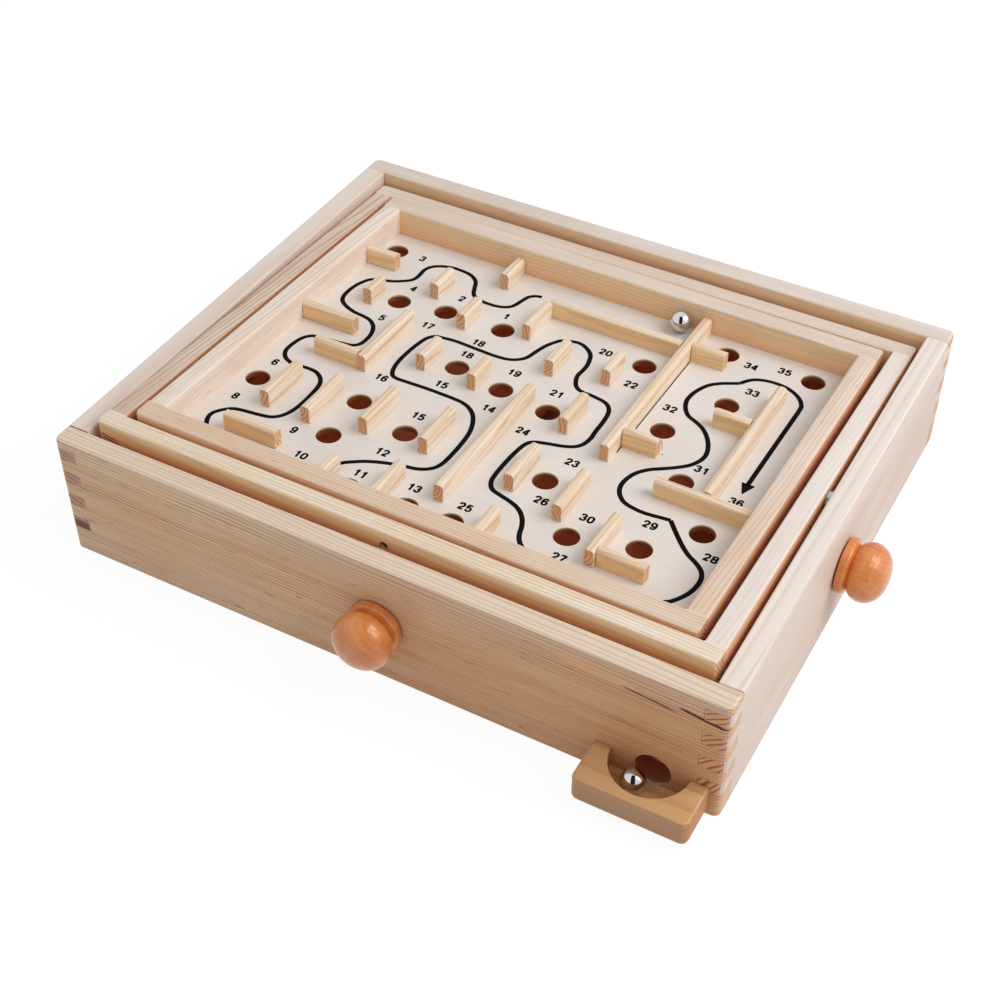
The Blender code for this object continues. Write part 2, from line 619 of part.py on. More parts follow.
def build_tray(shop, axis):
    """The tray: four rails with a groove for the board, and the bores for pins, cord and spring."""
    rails = build_rails(
        shop, "tray", axis, (TRAY_X, TRAY_Y), TRAY_INSIDE_Y, TRAY_INSIDE_X, TRAY_BOTTOM, TRAY_RIM)
    board_top = -BOARD_DROP
    reach_x, reach_y = TRAY_INSIDE_X + BOARD_TONGUE, TRAY_INSIDE_Y + BOARD_TONGUE
    grow = SEAT_GAP
    groove = shop.tool("board_groove", block_mesh(
        "board_groove",
        (-reach_x - grow, -reach_y - grow, board_top - BOARD_THICKNESS - grow),
        (reach_x + grow, reach_y + grow, board_top + grow)), axis)
    for rail in rails.values():
        combine(rail, groove, "DIFFERENCE")
    running = bore_radius(PIN_RADIUS, RUNNING_GAP, PIN_SIDES)
    for side, place in ((-1, "front"), (1, "back")):
        pins = [((0, side * (TRAY_INSIDE_Y + SEAT_GAP + BOARD_TONGUE), 0),
                 (0, side * (TRAY_Y + OVERRUN), 0), running)]
        bores = shop.tool("tray_" + place + "_pin_bore", rods_mesh("pin", pins, PIN_SIDES), axis)
        combine(rails[place], bores, "DIFFERENCE")
    ends = cord_holes(TRAY_BOTTOM)
    for side, place in ((-1, "left"), (1, "right")):
        radius, depth = ends[side]
        mouth = Vector((side * TRAY_RAIL_LINE, TRAY_CORD_Y, TRAY_BOTTOM - OVERRUN))
        end = Vector((side * TRAY_RAIL_LINE, TRAY_CORD_Y, depth))
        hole = rods_mesh("cord_hole", [(mouth, end, radius)], PIN_SIDES)
        combine(rails[place], shop.tool("tray_" + place + "_cord_hole", hole, axis), "DIFFERENCE")
    board = shop.add("maze_board", block_mesh(
        "maze_board",
        (-reach_x, -reach_y, board_top - BOARD_THICKNESS),
        (reach_x, reach_y, board_top)), shop.board_finish, axis)
    radius = HOLE_DIAMETER / 2
    drills = []
    for share_x, share_y in HOLE_SHARES:
        x, y = share_x * TRAY_INSIDE_X, share_y * TRAY_INSIDE_Y
        low = (x, y, board_top - BOARD_THICKNESS - OVERRUN)
        drills.append((low, (x, y, board_top + OVERRUN), radius))
    combine(board, shop.tool("board_holes", rods_mesh("board_holes", drills, HOLE_SIDES), axis), "DIFFERENCE")


def strip_block(shape, direction, line_share, from_share, to_share):
    """Add one maze strip to a bmesh, its two long upper edges rounded."""
    reach_x, reach_y = TRAY_INSIDE_X - SEAT_GAP, TRAY_INSIDE_Y - SEAT_GAP
    along, across = (1, 0) if direction == DOWN else (0, 1)
    reach = (reach_x, reach_y)
    half = STRIP_WIDTH / 2
    bottom = SEAT_GAP - BOARD_DROP
    top = STRIP_HEIGHT - BOARD_DROP
    low, high = [0, 0, bottom], [0, 0, top]
    low[across] = line_share * reach[across] - half
    high[across] = line_share * reach[across] + half
    low[along] = from_share * reach[along]
    high[along] = to_share * reach[along]
    add_block(shape, low, high)
    round_edges(shape, STRIP_ROUND, 3, top_edges(top, along))


def build_strips(shop, axis):
    """The maze's strips; those that meet are joined to one solid."""
    for name, shares in STRIP_SHARES.items():
        blanks = []
        for direction, line_share, from_share, to_share in shares:
            shape = bmesh.new()
            strip_block(shape, direction, line_share, from_share, to_share)
            blanks.append(to_mesh(name, shape))
        piece = shop.add(name, blanks[0], shop.strip_pine, axis)
        for count, blank in enumerate(blanks[1:]):
            combine(piece, shop.tool(name + "_arm_" + str(count), blank, axis), "UNION")


def build_pins(shop, frame_axis):
    """Four pivot pins. Two have a spacer collar and carry the middle frame in the side walls, and
    two carry the tray in the middle frame."""
    inner_x, outer_x = FRAME_X - FRAME_RAIL + PIN_SHORT_OF_RAIL, INSIDE_X + PIN_INTO_FIXED_RAIL
    collar_from, collar_to = FRAME_X + SEAT_GAP, INSIDE_X - SEAT_GAP
    for side, place in ((-1, "left"), (1, "right")):
        rod = [((side * inner_x, 0, PIVOT_HEIGHT), (side * outer_x, 0, PIVOT_HEIGHT), PIN_RADIUS)]
        ring = [((side * collar_from, 0, PIVOT_HEIGHT), (side * collar_to, 0, PIVOT_HEIGHT),
                 COLLAR_DIAMETER / 2)]
        mesh_data = rods_mesh(place, rod, PIN_SIDES)
        pin = shop.add(place + "_frame_pin", mesh_data, shop.wire_steel, None, SMOOTH_ANGLE)
        collar = shop.tool(place + "_pin_collar", rods_mesh("collar", ring, ROD_SIDES))
        combine(pin, collar, "UNION")
    inner_y = TRAY_INSIDE_Y + BOARD_TONGUE + SEAT_GAP + PIN_SHORT_OF_RAIL
    outer_y = FRAME_Y - PIN_IN_HOLE
    for side, place in ((-1, "front"), (1, "back")):
        rod = [((0, side * inner_y, 0), (0, side * outer_y, 0), PIN_RADIUS)]
        mesh_data = rods_mesh(place, rod, PIN_SIDES)
        shop.add(place + "_tray_pin", mesh_data, shop.wire_steel, frame_axis, SMOOTH_ANGLE)


def knob_profile():
    """Half outline of a knob from the tip of its dome down to the end of its shaft bore."""
    points = []
    tip_steps, back_steps = 9, 5
    for step in range(tip_steps + 1):
        angle = math.pi / 2 * (1 - step / tip_steps)
        radius = DOME_DIAMETER / 2 * math.cos(angle) ** DOME_FULLNESS_SHARE if step else 0
        points.append((radius, DOME_CENTRE + (KNOB_LENGTH - DOME_CENTRE) * math.sin(angle)))
    for step in range(1, back_steps + 1):
        angle = DOME_START_ANGLE * step / back_steps
        radius = DOME_DIAMETER / 2 * math.cos(angle) ** DOME_FULLNESS_SHARE
        points.append((radius, DOME_CENTRE + DOME_BACK * math.sin(angle)))
    rim = FLANGE_DIAMETER / 2
    corner_steps = 2
    for centre_z, start in ((FLANGE_THICKNESS - FLANGE_ROUND, math.pi / 2), (FLANGE_ROUND, 0)):
        for step in range(corner_steps + 1):
            angle = start - math.pi / 2 * step / corner_steps
            points.append((rim - FLANGE_ROUND + FLANGE_ROUND * math.cos(angle),
                           centre_z + FLANGE_ROUND * math.sin(angle)))
    bore = SHAFT_RADIUS + GLUE_GAP
    depth = SHAFT_INTO_KNOB + SEAT_GAP
    return points + [(bore, 0), (bore, depth), (0, depth)]


def turned_piece(shop, name, profile, material):
    """A piece turned about its own Z axis from a half outline."""
    shape = bmesh.new()
    corners = [shape.verts.new((radius, 0, height)) for radius, height in profile]
    for first, second in zip(corners, corners[1:]):
        shape.edges.new((first, second))
    outline = bpy.data.meshes.new(name)
    shape.to_mesh(outline)
    shape.free()
    piece = shop.add(name, outline, material)
    screw = piece.modifiers.new("turning", "SCREW")
    screw.axis = "Z"
    screw.steps = KNOB_STEPS
    screw.render_steps = KNOB_STEPS
    screw.use_merge_vertices = True
    screw.merge_threshold = MERGE_DISTANCE
    screw.use_smooth_shade = True
    return piece


def build_knobs(shop):
    """Both knobs and their shafts. The front shaft crosses the box, the right one ends in its post."""
    stand = KNOB_STANDOFF
    front = turned_piece(shop, "front_knob", knob_profile(), shop.lacquer)
    front.location = (FRONT_KNOB_X, -HALF_WIDTH - stand, SHAFT_HEIGHT)
    front.rotation_euler = (math.pi / 2, 0, 0)
    right = turned_piece(shop, "right_knob", knob_profile(), shop.lacquer)
    right.location = (HALF_LENGTH + stand, RIGHT_KNOB_Y, SHAFT_HEIGHT)
    right.rotation_euler = (0, math.pi / 2, 0)
    knob_end = -HALF_WIDTH - stand - SHAFT_INTO_KNOB
    front_rod = [((0, knob_end, 0), (0, INSIDE_Y + SHAFT_INTO_WALL, 0), SHAFT_RADIUS)]
    shaft = shop.add(
        "front_shaft", rods_mesh("front_shaft", front_rod, ROD_SIDES), shop.steel, None, SMOOTH_ANGLE)
    shaft.location = (FRONT_KNOB_X, 0, SHAFT_HEIGHT)
    inner_end = POST_X - POST_SIDE / 2 - SHAFT_PAST_POST
    right_rod = [((inner_end, 0, 0), (HALF_LENGTH + stand + SHAFT_INTO_KNOB, 0, 0), SHAFT_RADIUS)]
    shaft = shop.add(
        "right_shaft", rods_mesh("right_shaft", right_rod, ROD_SIDES), shop.steel, None, SMOOTH_ANGLE)
    shaft.location = (0, RIGHT_KNOB_Y, SHAFT_HEIGHT)


def build_eyes(shop):
    """Four guide eyes of wire, screwed into the walls, where the cords turn up to the frames."""
    eyes = {"front": (-1, False), "back": (1, False), "right": (1, True), "left": (-1, True)}
    for place, (side, along_x) in eyes.items():
        ring, tail = eye_line(side, along_x)
        outward = (tail - ring).normalized()
        root = ring + outward * EYE_RADIUS
        rod = rods_mesh(place, [(root, tail, EYE_WIRE / 2)], PIN_SIDES)
        eye = shop.add(place + "_guide_eye", rod, shop.wire_steel, None, SMOOTH_ANGLE)
        bpy.ops.mesh.primitive_torus_add(
            location=ring, major_radius=EYE_RADIUS, minor_radius=EYE_WIRE / 2,
            major_segments=16, minor_segments=8)
        torus = bpy.context.object
        loop = shop.tool(place + "_eye_ring", torus.data)
        loop.location = ring
        bpy.data.objects.remove(torus, do_unlink=True)
        combine(eye, loop, "UNION")


def cord_curve(shop, name, points, radius, resolution, material, parent=None):
    """A round wire or cord along points, with closed ends."""
    curve = bpy.data.curves.new(name, "CURVE")
    curve.dimensions = "3D"
    curve.bevel_depth = radius
    curve.bevel_resolution = resolution
    curve.use_fill_caps = True
    spline = curve.splines.new("POLY")
    spline.points.add(len(points) - 1)
    for target, point in zip(spline.points, points):
        target.co = (*point, 1.0)
    return shop.add(name, curve, material, parent)


def spring_points(centre_x, centre_y, bottom):
    """Points of a spring that stands in its bore, in the rail's own coordinates."""
    radius = (SPRING_DIAMETER - SPRING_WIRE) / 2
    low = bottom + CORD_IN_BORE + SEAT_GAP + SPRING_WIRE / 2
    points = []
    for step in range(SPRING_TURNS * SPRING_POINTS + 1):
        turn = step / SPRING_POINTS
        angle = 2 * math.pi * turn
        points.append(Vector((
            centre_x + radius * math.cos(angle),
            centre_y + radius * math.sin(angle),
            low + SPRING_PITCH * turn)))
    return points


def wound_points(centre, along, axial, over, near_end, far_end):
    """Points of a cord from one guide, around a shaft and on to the other guide.

    The shaft's axis runs through centre along axial. Over is 1 where the cord meets the shaft on
    its upper side and -1 where it meets it underneath.
    """
    def touch(end, ahead):
        offset = end - centre
        flat, height = offset.dot(along), offset.z * over
        toward = math.atan2(flat, height)
        opening = math.acos(WOUND_RADIUS / math.hypot(flat, height))
        return toward + opening if ahead < 0 else toward - opening

    start = touch(near_end, -1)
    end = 2 * math.pi * CORD_TURNS + touch(far_end, 1)
    steps = CORD_TURNS * TURN_POINTS
    points = []
    for step in range(steps + 1):
        share = step / steps
        angle = start + (end - start) * share
        shift = CORD_PITCH * CORD_TURNS * (share - 1 / 2)
        points.append(centre + along * (WOUND_RADIUS * math.sin(angle)) + axial * shift
                      + Vector((0, 0, over * WOUND_RADIUS * math.cos(angle))))
    return points


def guide_points(corner, outward):
    """Points of a cord that turns up around the inner wire of a guide eye, from below."""
    steps = 3
    points = []
    for step in range(steps + 1):
        angle = math.pi / 2 * step / steps
        points.append(corner + outward * (GUIDE_RADIUS * math.sin(angle))
                      - Vector((0, 0, GUIDE_RADIUS * math.cos(angle))))
    return points


def leg_points(line, bottom, depth, cord_place, side, axis_matrix, along_x):
    """The cord's mouth at a rail and its end inside the rail, in the box's coordinates."""
    across = Vector((side * line, cord_place, 0)) if along_x else Vector((cord_place, side * line, 0))
    mouth = axis_matrix @ (across + Vector((0, 0, bottom)))
    end = axis_matrix @ (across + Vector((0, 0, bottom + depth)))
    return mouth, end


def build_cord(shop, name, axis_matrix, along_x, line, bottom, centre, over):
    """One cord: from a rail, round a guide eye, about its shaft and back up to the other rail."""
    along = Vector((1, 0, 0)) if along_x else Vector((0, 1, 0))
    axial = Vector((0, 1, 0)) if along_x else Vector((1, 0, 0))
    place = TRAY_CORD_Y if along_x else FRAME_CORD_X
    corners = {}
    for side in (-1, 1):
        reach = side * (line - GUIDE_RADIUS)
        corners[side] = along * reach + axial * place + Vector((0, 0, GUIDE_HEIGHT))
    low_mouth, low_end = leg_points(line, bottom, CORD_IN_HOLE, place, -1, axis_matrix, along_x)
    high_mouth, high_end = leg_points(line, bottom, CORD_IN_BORE, place, 1, axis_matrix, along_x)
    near_guide = guide_points(corners[-1], -along)[::-1]
    far_guide = guide_points(corners[1], along)
    wound = wound_points(centre, along, axial, over, near_guide[-1], far_guide[0])
    points = [low_end, low_mouth] + near_guide + wound + far_guide + [high_mouth, high_end]
    cord_curve(shop, name, points, CORD_RADIUS, 1, shop.cotton)


def build_cords(shop, frame_axis, tray_axis, frame_matrix, tray_matrix):
    """Both cords and the springs that keep them tight."""
    shaft_on_front = Vector((FRONT_KNOB_X, TRAY_CORD_Y, SHAFT_HEIGHT))
    build_cord(shop, "tray_cord", tray_matrix, True, TRAY_RAIL_LINE, TRAY_BOTTOM, shaft_on_front, -1)
    shaft_on_right = Vector((FRAME_CORD_X, RIGHT_KNOB_Y, SHAFT_HEIGHT))
    build_cord(
        shop, "frame_cord", frame_matrix, False, FRAME_RAIL_LINE, FRAME_BOTTOM, shaft_on_right, 1)
    tray_spring = spring_points(TRAY_RAIL_LINE, TRAY_CORD_Y, TRAY_BOTTOM)
    cord_curve(shop, "tray_cord_spring", tray_spring, SPRING_WIRE / 2, 1, shop.wire_steel, tray_axis)
    frame_spring = spring_points(FRAME_CORD_X, FRAME_RAIL_LINE, FRAME_BOTTOM)
    cord_curve(shop, "frame_cord_spring", frame_spring, SPRING_WIRE / 2, 1, shop.wire_steel, frame_axis)


def build_ball(shop, name, place, parent=None):
    """One steel ball."""
    shape = bmesh.new()
    bmesh.ops.create_uvsphere(
        shape, u_segments=BALL_SEGMENTS, v_segments=BALL_RINGS, radius=BALL_RADIUS)
    ball = shop.add(name, to_mesh(name, shape), shop.steel, parent, SMOOTH_ANGLE)
    ball.location = place
    return ball


def build():
    """Build the whole maze."""
    shop = Workshop()
    frame_axis = shop.axis("middle_frame_axis", (0, 0, PIVOT_HEIGHT), (REST_TILT_X, 0, 0))
    tray_axis = shop.axis("tray_axis", (0, 0, 0), (0, REST_TILT_Y, 0), frame_axis)
    frame_matrix = Matrix.Translation((0, 0, PIVOT_HEIGHT)) @ Matrix.Rotation(REST_TILT_X, 4, "X")
    tray_matrix = frame_matrix @ Matrix.Rotation(REST_TILT_Y, 4, "Y")
    build_box(shop)
    build_floor(shop)
    build_post(shop)
    build_cup(shop)
    build_middle_frame(shop, frame_axis)
    build_tray(shop, tray_axis)
    build_strips(shop, tray_axis)
    build_pins(shop, frame_axis)
    build_knobs(shop)
    build_eyes(shop)
    build_cords(shop, frame_axis, tray_axis, frame_matrix, tray_matrix)
    start_x = START_BALL_SHARE * TRAY_INSIDE_X
    start_y = TRAY_INSIDE_Y - BALL_RADIUS - SEAT_GAP
    start_z = BALL_RADIUS + SEAT_GAP - BOARD_DROP
    build_ball(shop, "start_ball", (start_x, start_y, start_z), tray_axis)
    caught_z = SCOOP_FLOOR + BALL_RADIUS + SEAT_GAP
    build_ball(shop, "caught_ball", (CAUGHT_BALL_X, CAUGHT_BALL_Y, caught_z))
    shop.move_all(ORIGIN_SHIFT)


build()
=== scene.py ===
"""Looks of a tilting wooden ball maze: pine box, two nested frames, painted board, knobs and balls.

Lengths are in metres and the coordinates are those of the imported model. Places on the tray are
given in the tray's own level coordinates, in millimetres, and are laid on it with its rest tilt.
"""

import logging
import math
from dataclasses import dataclass
from enum import Enum
from typing import Any, Iterable, Optional, Sequence, Union

import bmesh
import bpy
from mathutils import Matrix, Vector


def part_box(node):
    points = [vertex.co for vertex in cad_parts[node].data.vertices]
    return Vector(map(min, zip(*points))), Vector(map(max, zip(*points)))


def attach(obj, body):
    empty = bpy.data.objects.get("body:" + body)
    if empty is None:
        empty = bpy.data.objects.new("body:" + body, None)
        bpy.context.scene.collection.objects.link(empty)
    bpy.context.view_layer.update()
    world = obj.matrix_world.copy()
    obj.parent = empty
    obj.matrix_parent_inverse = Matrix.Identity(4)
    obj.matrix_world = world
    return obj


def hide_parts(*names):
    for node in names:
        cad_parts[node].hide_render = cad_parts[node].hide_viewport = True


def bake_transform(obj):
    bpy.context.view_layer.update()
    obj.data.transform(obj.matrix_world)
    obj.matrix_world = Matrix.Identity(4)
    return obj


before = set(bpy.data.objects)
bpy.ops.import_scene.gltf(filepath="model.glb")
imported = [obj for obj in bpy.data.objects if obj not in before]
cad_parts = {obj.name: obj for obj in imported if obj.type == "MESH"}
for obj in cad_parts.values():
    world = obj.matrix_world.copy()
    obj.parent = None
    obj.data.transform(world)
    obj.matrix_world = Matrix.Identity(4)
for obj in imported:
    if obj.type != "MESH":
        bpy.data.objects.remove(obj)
log = logging.getLogger("maze")

MM = 0.001
BOX_MIDDLE = Vector((-0.00995, 0.010, 0.0))
PIVOT = BOX_MIDDLE + Vector((0.0, 0.0, 0.053))
REST_TILT_X = math.radians(-2.4)
REST_TILT_Y = math.radians(0.39)

Number = Union["Signal", float]
Plain = Union["Signal", float, Sequence[float]]
Point = tuple[float, float]
Shade = tuple[float, float, float]


class Signal:
    """A value that changes over a surface: the output socket of a shader node."""

    def __init__(self, sheet: "Sheet", socket: bpy.types.NodeSocket) -> None:
        """Keep the sheet and the socket."""
        self.sheet = sheet
        self.socket = socket

    def __add__(self, other: Number) -> "Signal":
        """Sum."""
        return self.sheet.math("ADD", self, other)

    def __radd__(self, other: Number) -> "Signal":
        """Sum with a plain number first."""
        return self.sheet.math("ADD", other, self)

    def __sub__(self, other: Number) -> "Signal":
        """Difference."""
        return self.sheet.math("SUBTRACT", self, other)

    def __rsub__(self, other: Number) -> "Signal":
        """Difference with a plain number first."""
        return self.sheet.math("SUBTRACT", other, self)

    def __mul__(self, other: Number) -> "Signal":
        """Product."""
        return self.sheet.math("MULTIPLY", self, other)

    def __rmul__(self, other: Number) -> "Signal":
        """Product with a plain number first."""
        return self.sheet.math("MULTIPLY", other, self)

    def __truediv__(self, other: Number) -> "Signal":
        """Quotient."""
        return self.sheet.math("DIVIDE", self, other)

    def __rtruediv__(self, other: Number) -> "Signal":
        """Quotient with a plain number first."""
        return self.sheet.math("DIVIDE", other, self)

    def __abs__(self) -> "Signal":
        """Size without its sign."""
        return self.sheet.math("ABSOLUTE", self)

    def clamped(self) -> "Signal":
        """The value held between 0 and 1."""
        return self.sheet.math("ADD", self, 0.0, clamp=True)

    def fract(self) -> "Signal":
        """The part after the decimal point."""
        return self.sheet.math("FRACT", self)

    def highest(self, other: Number) -> "Signal":
        """The higher of two values."""
        return self.sheet.math("MAXIMUM", self, other)

    def lowest(self, other: Number) -> "Signal":
        """The lower of two values."""
        return self.sheet.math("MINIMUM", self, other)

    def step(self, low: float, high: float) -> "Signal":
        """A smooth step.

        Args:
            low: Value at which the step is 0.
            high: Value at which the step is 1. It may be below low.

        Returns:
            The step as a new signal.
        """
        return self.sheet.node(
            "ShaderNodeMapRange", {"interpolation_type": "SMOOTHSTEP"},
            {"Value": self, "From Min": low, "From Max": high})


@dataclass(frozen=True)
class Colour:
    """A colour as it is written for a screen, 0 to 255 a channel."""

    red: float
    green: float
    blue: float

    def linear(self) -> tuple[float, float, float, float]:
        """The colour as scene light.

        Returns:
            Red, green, blue and a full alpha.
        """
        parts = [value / 255 for value in (self.red, self.green, self.blue)]
        light = [p / 12.92 if p <= 0.04045 else ((p + 0.055) / 1.055) ** 2.4 for p in parts]
        return light[0], light[1], light[2], 1.0

    def scaled(self, share: float) -> "Colour":
        """A lighter or darker copy."""
        return Colour(self.red * share, self.green * share, self.blue * share)


@dataclass(frozen=True)
class Lay:
    """Where a piece lies: a point on it and the directions of its length, width and height."""

    origin: Vector
    along: Vector
    across: Vector
    up: Vector

    def turned(self) -> "Lay":
        """The same place for a piece that runs from front to back."""
        return Lay(self.origin, self.across, self.along * -1, self.up)

    def upright(self) -> "Lay":
        """The same place for a piece whose length stands up."""
        return Lay(self.origin, self.up, self.along, self.across)

    def place(self, x: float, y: float, z: float) -> Vector:
        """A point of this lay, given in millimetres, in the model's coordinates."""
        return self.origin + (self.along * x + self.across * y + self.up * z) * MM

    def spread(self, points: Iterable[Vector]) -> tuple[Vector, Vector]:
        """The middle and half size of some points, measured along this lay's directions.

        Args:
            points: The points.

        Returns:
            The middle and the half size.
        """
        rows = [(d.dot(self.along), d.dot(self.across), d.dot(self.up))
                for d in (point - self.origin for point in points)]
        low = Vector([min(row[i] for row in rows) for i in range(3)])
        high = Vector([max(row[i] for row in rows) for i in range(3)])
        return (low + high) / 2, (high - low) / 2


def tilted_lay(tilt_x: float, tilt_y: float) -> Lay:
    """The lay of a frame that is turned about the pivots.

    Args:
        tilt_x: Turn about the long axis.
        tilt_y: Turn about the short axis, inside the first.

    Returns:
        The lay, with the pivot as its origin.
    """
    turn = Matrix.Rotation(tilt_x, 3, "X") @ Matrix.Rotation(tilt_y, 3, "Y")
    return Lay(PIVOT, turn.col[0].copy(), turn.col[1].copy(), turn.col[2].copy())


BOX_LAY = Lay(BOX_MIDDLE, Vector((1, 0, 0)), Vector((0, 1, 0)), Vector((0, 0, 1)))
FRAME_LAY = tilted_lay(REST_TILT_X, 0.0)
TRAY_LAY = tilted_lay(REST_TILT_X, REST_TILT_Y)


class Sheet:
    """The node tree of one material, built in Python expressions."""

    def __init__(self, name: str) -> None:
        """Make an empty material of this name.

        Args:
            name: The material's name.
        """
        self.material = bpy.data.materials.new(name)
        self.material.use_nodes = True
        self.tree = self.material.node_tree
        self.tree.nodes.clear()

    def join(self, socket: bpy.types.NodeSocket, value: Plain) -> None:
        """Set an input socket to a signal or to a plain value.

        Args:
            socket: The input socket.
            value: The signal or the value.
        """
        if isinstance(value, Signal):
            self.tree.links.new(value.socket, socket)
        else:
            socket.default_value = value

    def node(self, kind: str, settings: Optional[dict[str, Any]] = None,
             sockets: Optional[dict[Any, Plain]] = None, output: Any = 0) -> Signal:
        """Add any node.

        Args:
            kind: The node's type.
            settings: Its properties, set before its sockets. A ramp's stops are a list of
                positions and colours.
            sockets: Its inputs by name or number, each a signal or a plain value.
            output: The output to give back, by name or number.

        Returns:
            The chosen output as a signal.
        """
        made = self.tree.nodes.new(kind)
        for key, value in (settings or {}).items():
            if key == "stops":
                band = made.color_ramp.elements
                for extra in range(len(value) - 2):
                    band.new(0.5)
                for stop, (where, colour) in zip(band, value):
                    stop.position = where
                    stop.color = colour
            else:
                setattr(made, key, value)
        for key, value in (sockets or {}).items():
            self.join(made.inputs[key], value)
        return Signal(self, made.outputs[output])

    def math(self, operation: str, *values: Number, clamp: bool = False) -> Signal:
        """Add a Math node over one, two or three values."""
        return self.node("ShaderNodeMath", {"operation": operation, "use_clamp": clamp},
                         dict(enumerate(values)))

    def vector(self, x: Number, y: Number, z: Number) -> Signal:
        """A vector from three numbers."""
        return self.node("ShaderNodeCombineXYZ", {}, {0: x, 1: y, 2: z})

    def stretch(self, vector: Signal, by: Sequence[float],
                shift: Sequence[float] = (0, 0, 0)) -> Signal:
        """A vector scaled along each axis and then moved."""
        return self.node("ShaderNodeVectorMath", {"operation": "MULTIPLY_ADD"},
                         {0: vector, 1: tuple(by), 2: tuple(shift)})

    def noise(self, vector: Signal, detail: float = 2.0, rough: float = 0.5) -> Signal:
        """Smooth noise around one half."""
        return self.node("ShaderNodeTexNoise", {},
                         {"Vector": vector, "Scale": 1.0, "Detail": detail, "Roughness": rough})

    def tint(self, share: Number, first: Union[Signal, Colour], second: Union[Signal, Colour],
             way: str = "MIX") -> Signal:
        """A mix of two colours.

        Args:
            share: How much of the second shows.
            first: The colour at 0.
            second: The colour at 1.
            way: The blend's name.

        Returns:
            The mixed colour.
        """
        sides = [c.linear() if isinstance(c, Colour) else c for c in (first, second)]
        return self.node("ShaderNodeMix", {"data_type": "RGBA", "blend_type": way},
                         {0: share, 6: sides[0], 7: sides[1]}, 2)

    def ramp(self, value: Signal, stops: Sequence[tuple[float, Colour]]) -> Signal:
        """A colour band read by a value."""
        listed = [(where, colour.linear()) for where, colour in stops]
        return self.node("ShaderNodeValToRGB", {"stops": listed}, {0: value})

    def place(self) -> Signal:
        """The point on the piece, in the model's coordinates at rest."""
        return self.node("ShaderNodeTexCoord", {}, {}, "Object")

    def facing(self) -> Signal:
        """The direction in which the piece's surface faces, in its own coordinates."""
        return self.node("ShaderNodeTexCoord", {}, {}, "Normal")

    def dot(self, vector: Signal, direction: Sequence[float]) -> Signal:
        """How far a vector goes in one direction."""
        return self.node("ShaderNodeVectorMath", {"operation": "DOT_PRODUCT"},
                         {0: vector, 1: tuple(direction)}, 1)

    def local(self, lay: Lay) -> tuple[Signal, Signal, Signal]:
        """The point's distances along the length, width and height of a lay.

        Args:
            lay: The lay.

        Returns:
            The three distances, in metres.
        """
        here = self.place()
        return tuple(self.dot(here, way) - lay.origin.dot(way)
                     for way in (lay.along, lay.across, lay.up))

    def bump(self, height: Signal, depth: float, strength: float = 1.0) -> Signal:
        """Surface relief from a height between 0 and 1 and its depth."""
        return self.node("ShaderNodeBump", {},
                         {"Height": height, "Distance": depth, "Strength": strength})

    def surface(self, **sockets: Plain) -> bpy.types.Material:
        """Close the sheet with one shader.

        Args:
            sockets: Inputs of the shader, with underscores for spaces.

        Returns:
            The finished material.
        """
        shader = self.node("ShaderNodeBsdfPrincipled", {},
                           {key.replace("_", " "): value for key, value in sockets.items()})
        self.close(shader)
        return self.material

    def close(self, shader: Signal) -> None:
        """Join a shader to the material's output."""
        out = self.tree.nodes.new("ShaderNodeOutputMaterial")
        self.tree.links.new(shader.socket, out.inputs["Surface"])


@dataclass(frozen=True)
class Pith:
    """Where the middle of the tree would lie, beside the piece, and how its rings run.

    Lean is how far the tree's middle moves aside over the length, which draws slanting grain.
    """

    across: float
    up: float
    ring: float = 0.0016
    lean: float = 0.0


@dataclass(frozen=True)
class PaintedLightAndShade:
    """Painted bounce light and shade on wood in a narrow gap, changing from its rim downwards."""

    rim: Colour
    middle: Colour
    low: Colour
    reach: float = 0.012


# Painted bounce light and shade for faces that look into gaps, one set for each kind of gap.
FRONT_PAINTED_LIGHT = PaintedLightAndShade(Colour(252, 222, 178), Colour(246, 190, 134), Colour(230, 150, 100))
LOW_PAINTED_LIGHT = PaintedLightAndShade(Colour(226, 168, 124), Colour(196, 128, 88), Colour(150, 84, 54))
TRAY_FRONT_PAINTED_LIGHT = PaintedLightAndShade(Colour(246, 206, 162), Colour(236, 178, 128), Colour(220, 148, 100))
SIDE_PAINTED_LIGHT = PaintedLightAndShade(Colour(240, 200, 164), Colour(230, 172, 132), Colour(214, 144, 102))
BACK_PAINTED_LIGHT = PaintedLightAndShade(Colour(252, 220, 176), Colour(250, 208, 158), Colour(236, 164, 106), 0.018)
LEFT_PAINTED_LIGHT = PaintedLightAndShade(Colour(242, 230, 220), Colour(240, 222, 206), Colour(232, 150, 92), 0.018)


@dataclass(frozen=True)
class Mark:
    """A crack or stain: a line between two points, in millimetres from the piece's middle."""

    start: Point
    end: Point
    width: float
    colour: Colour
    strength: float = 1.0


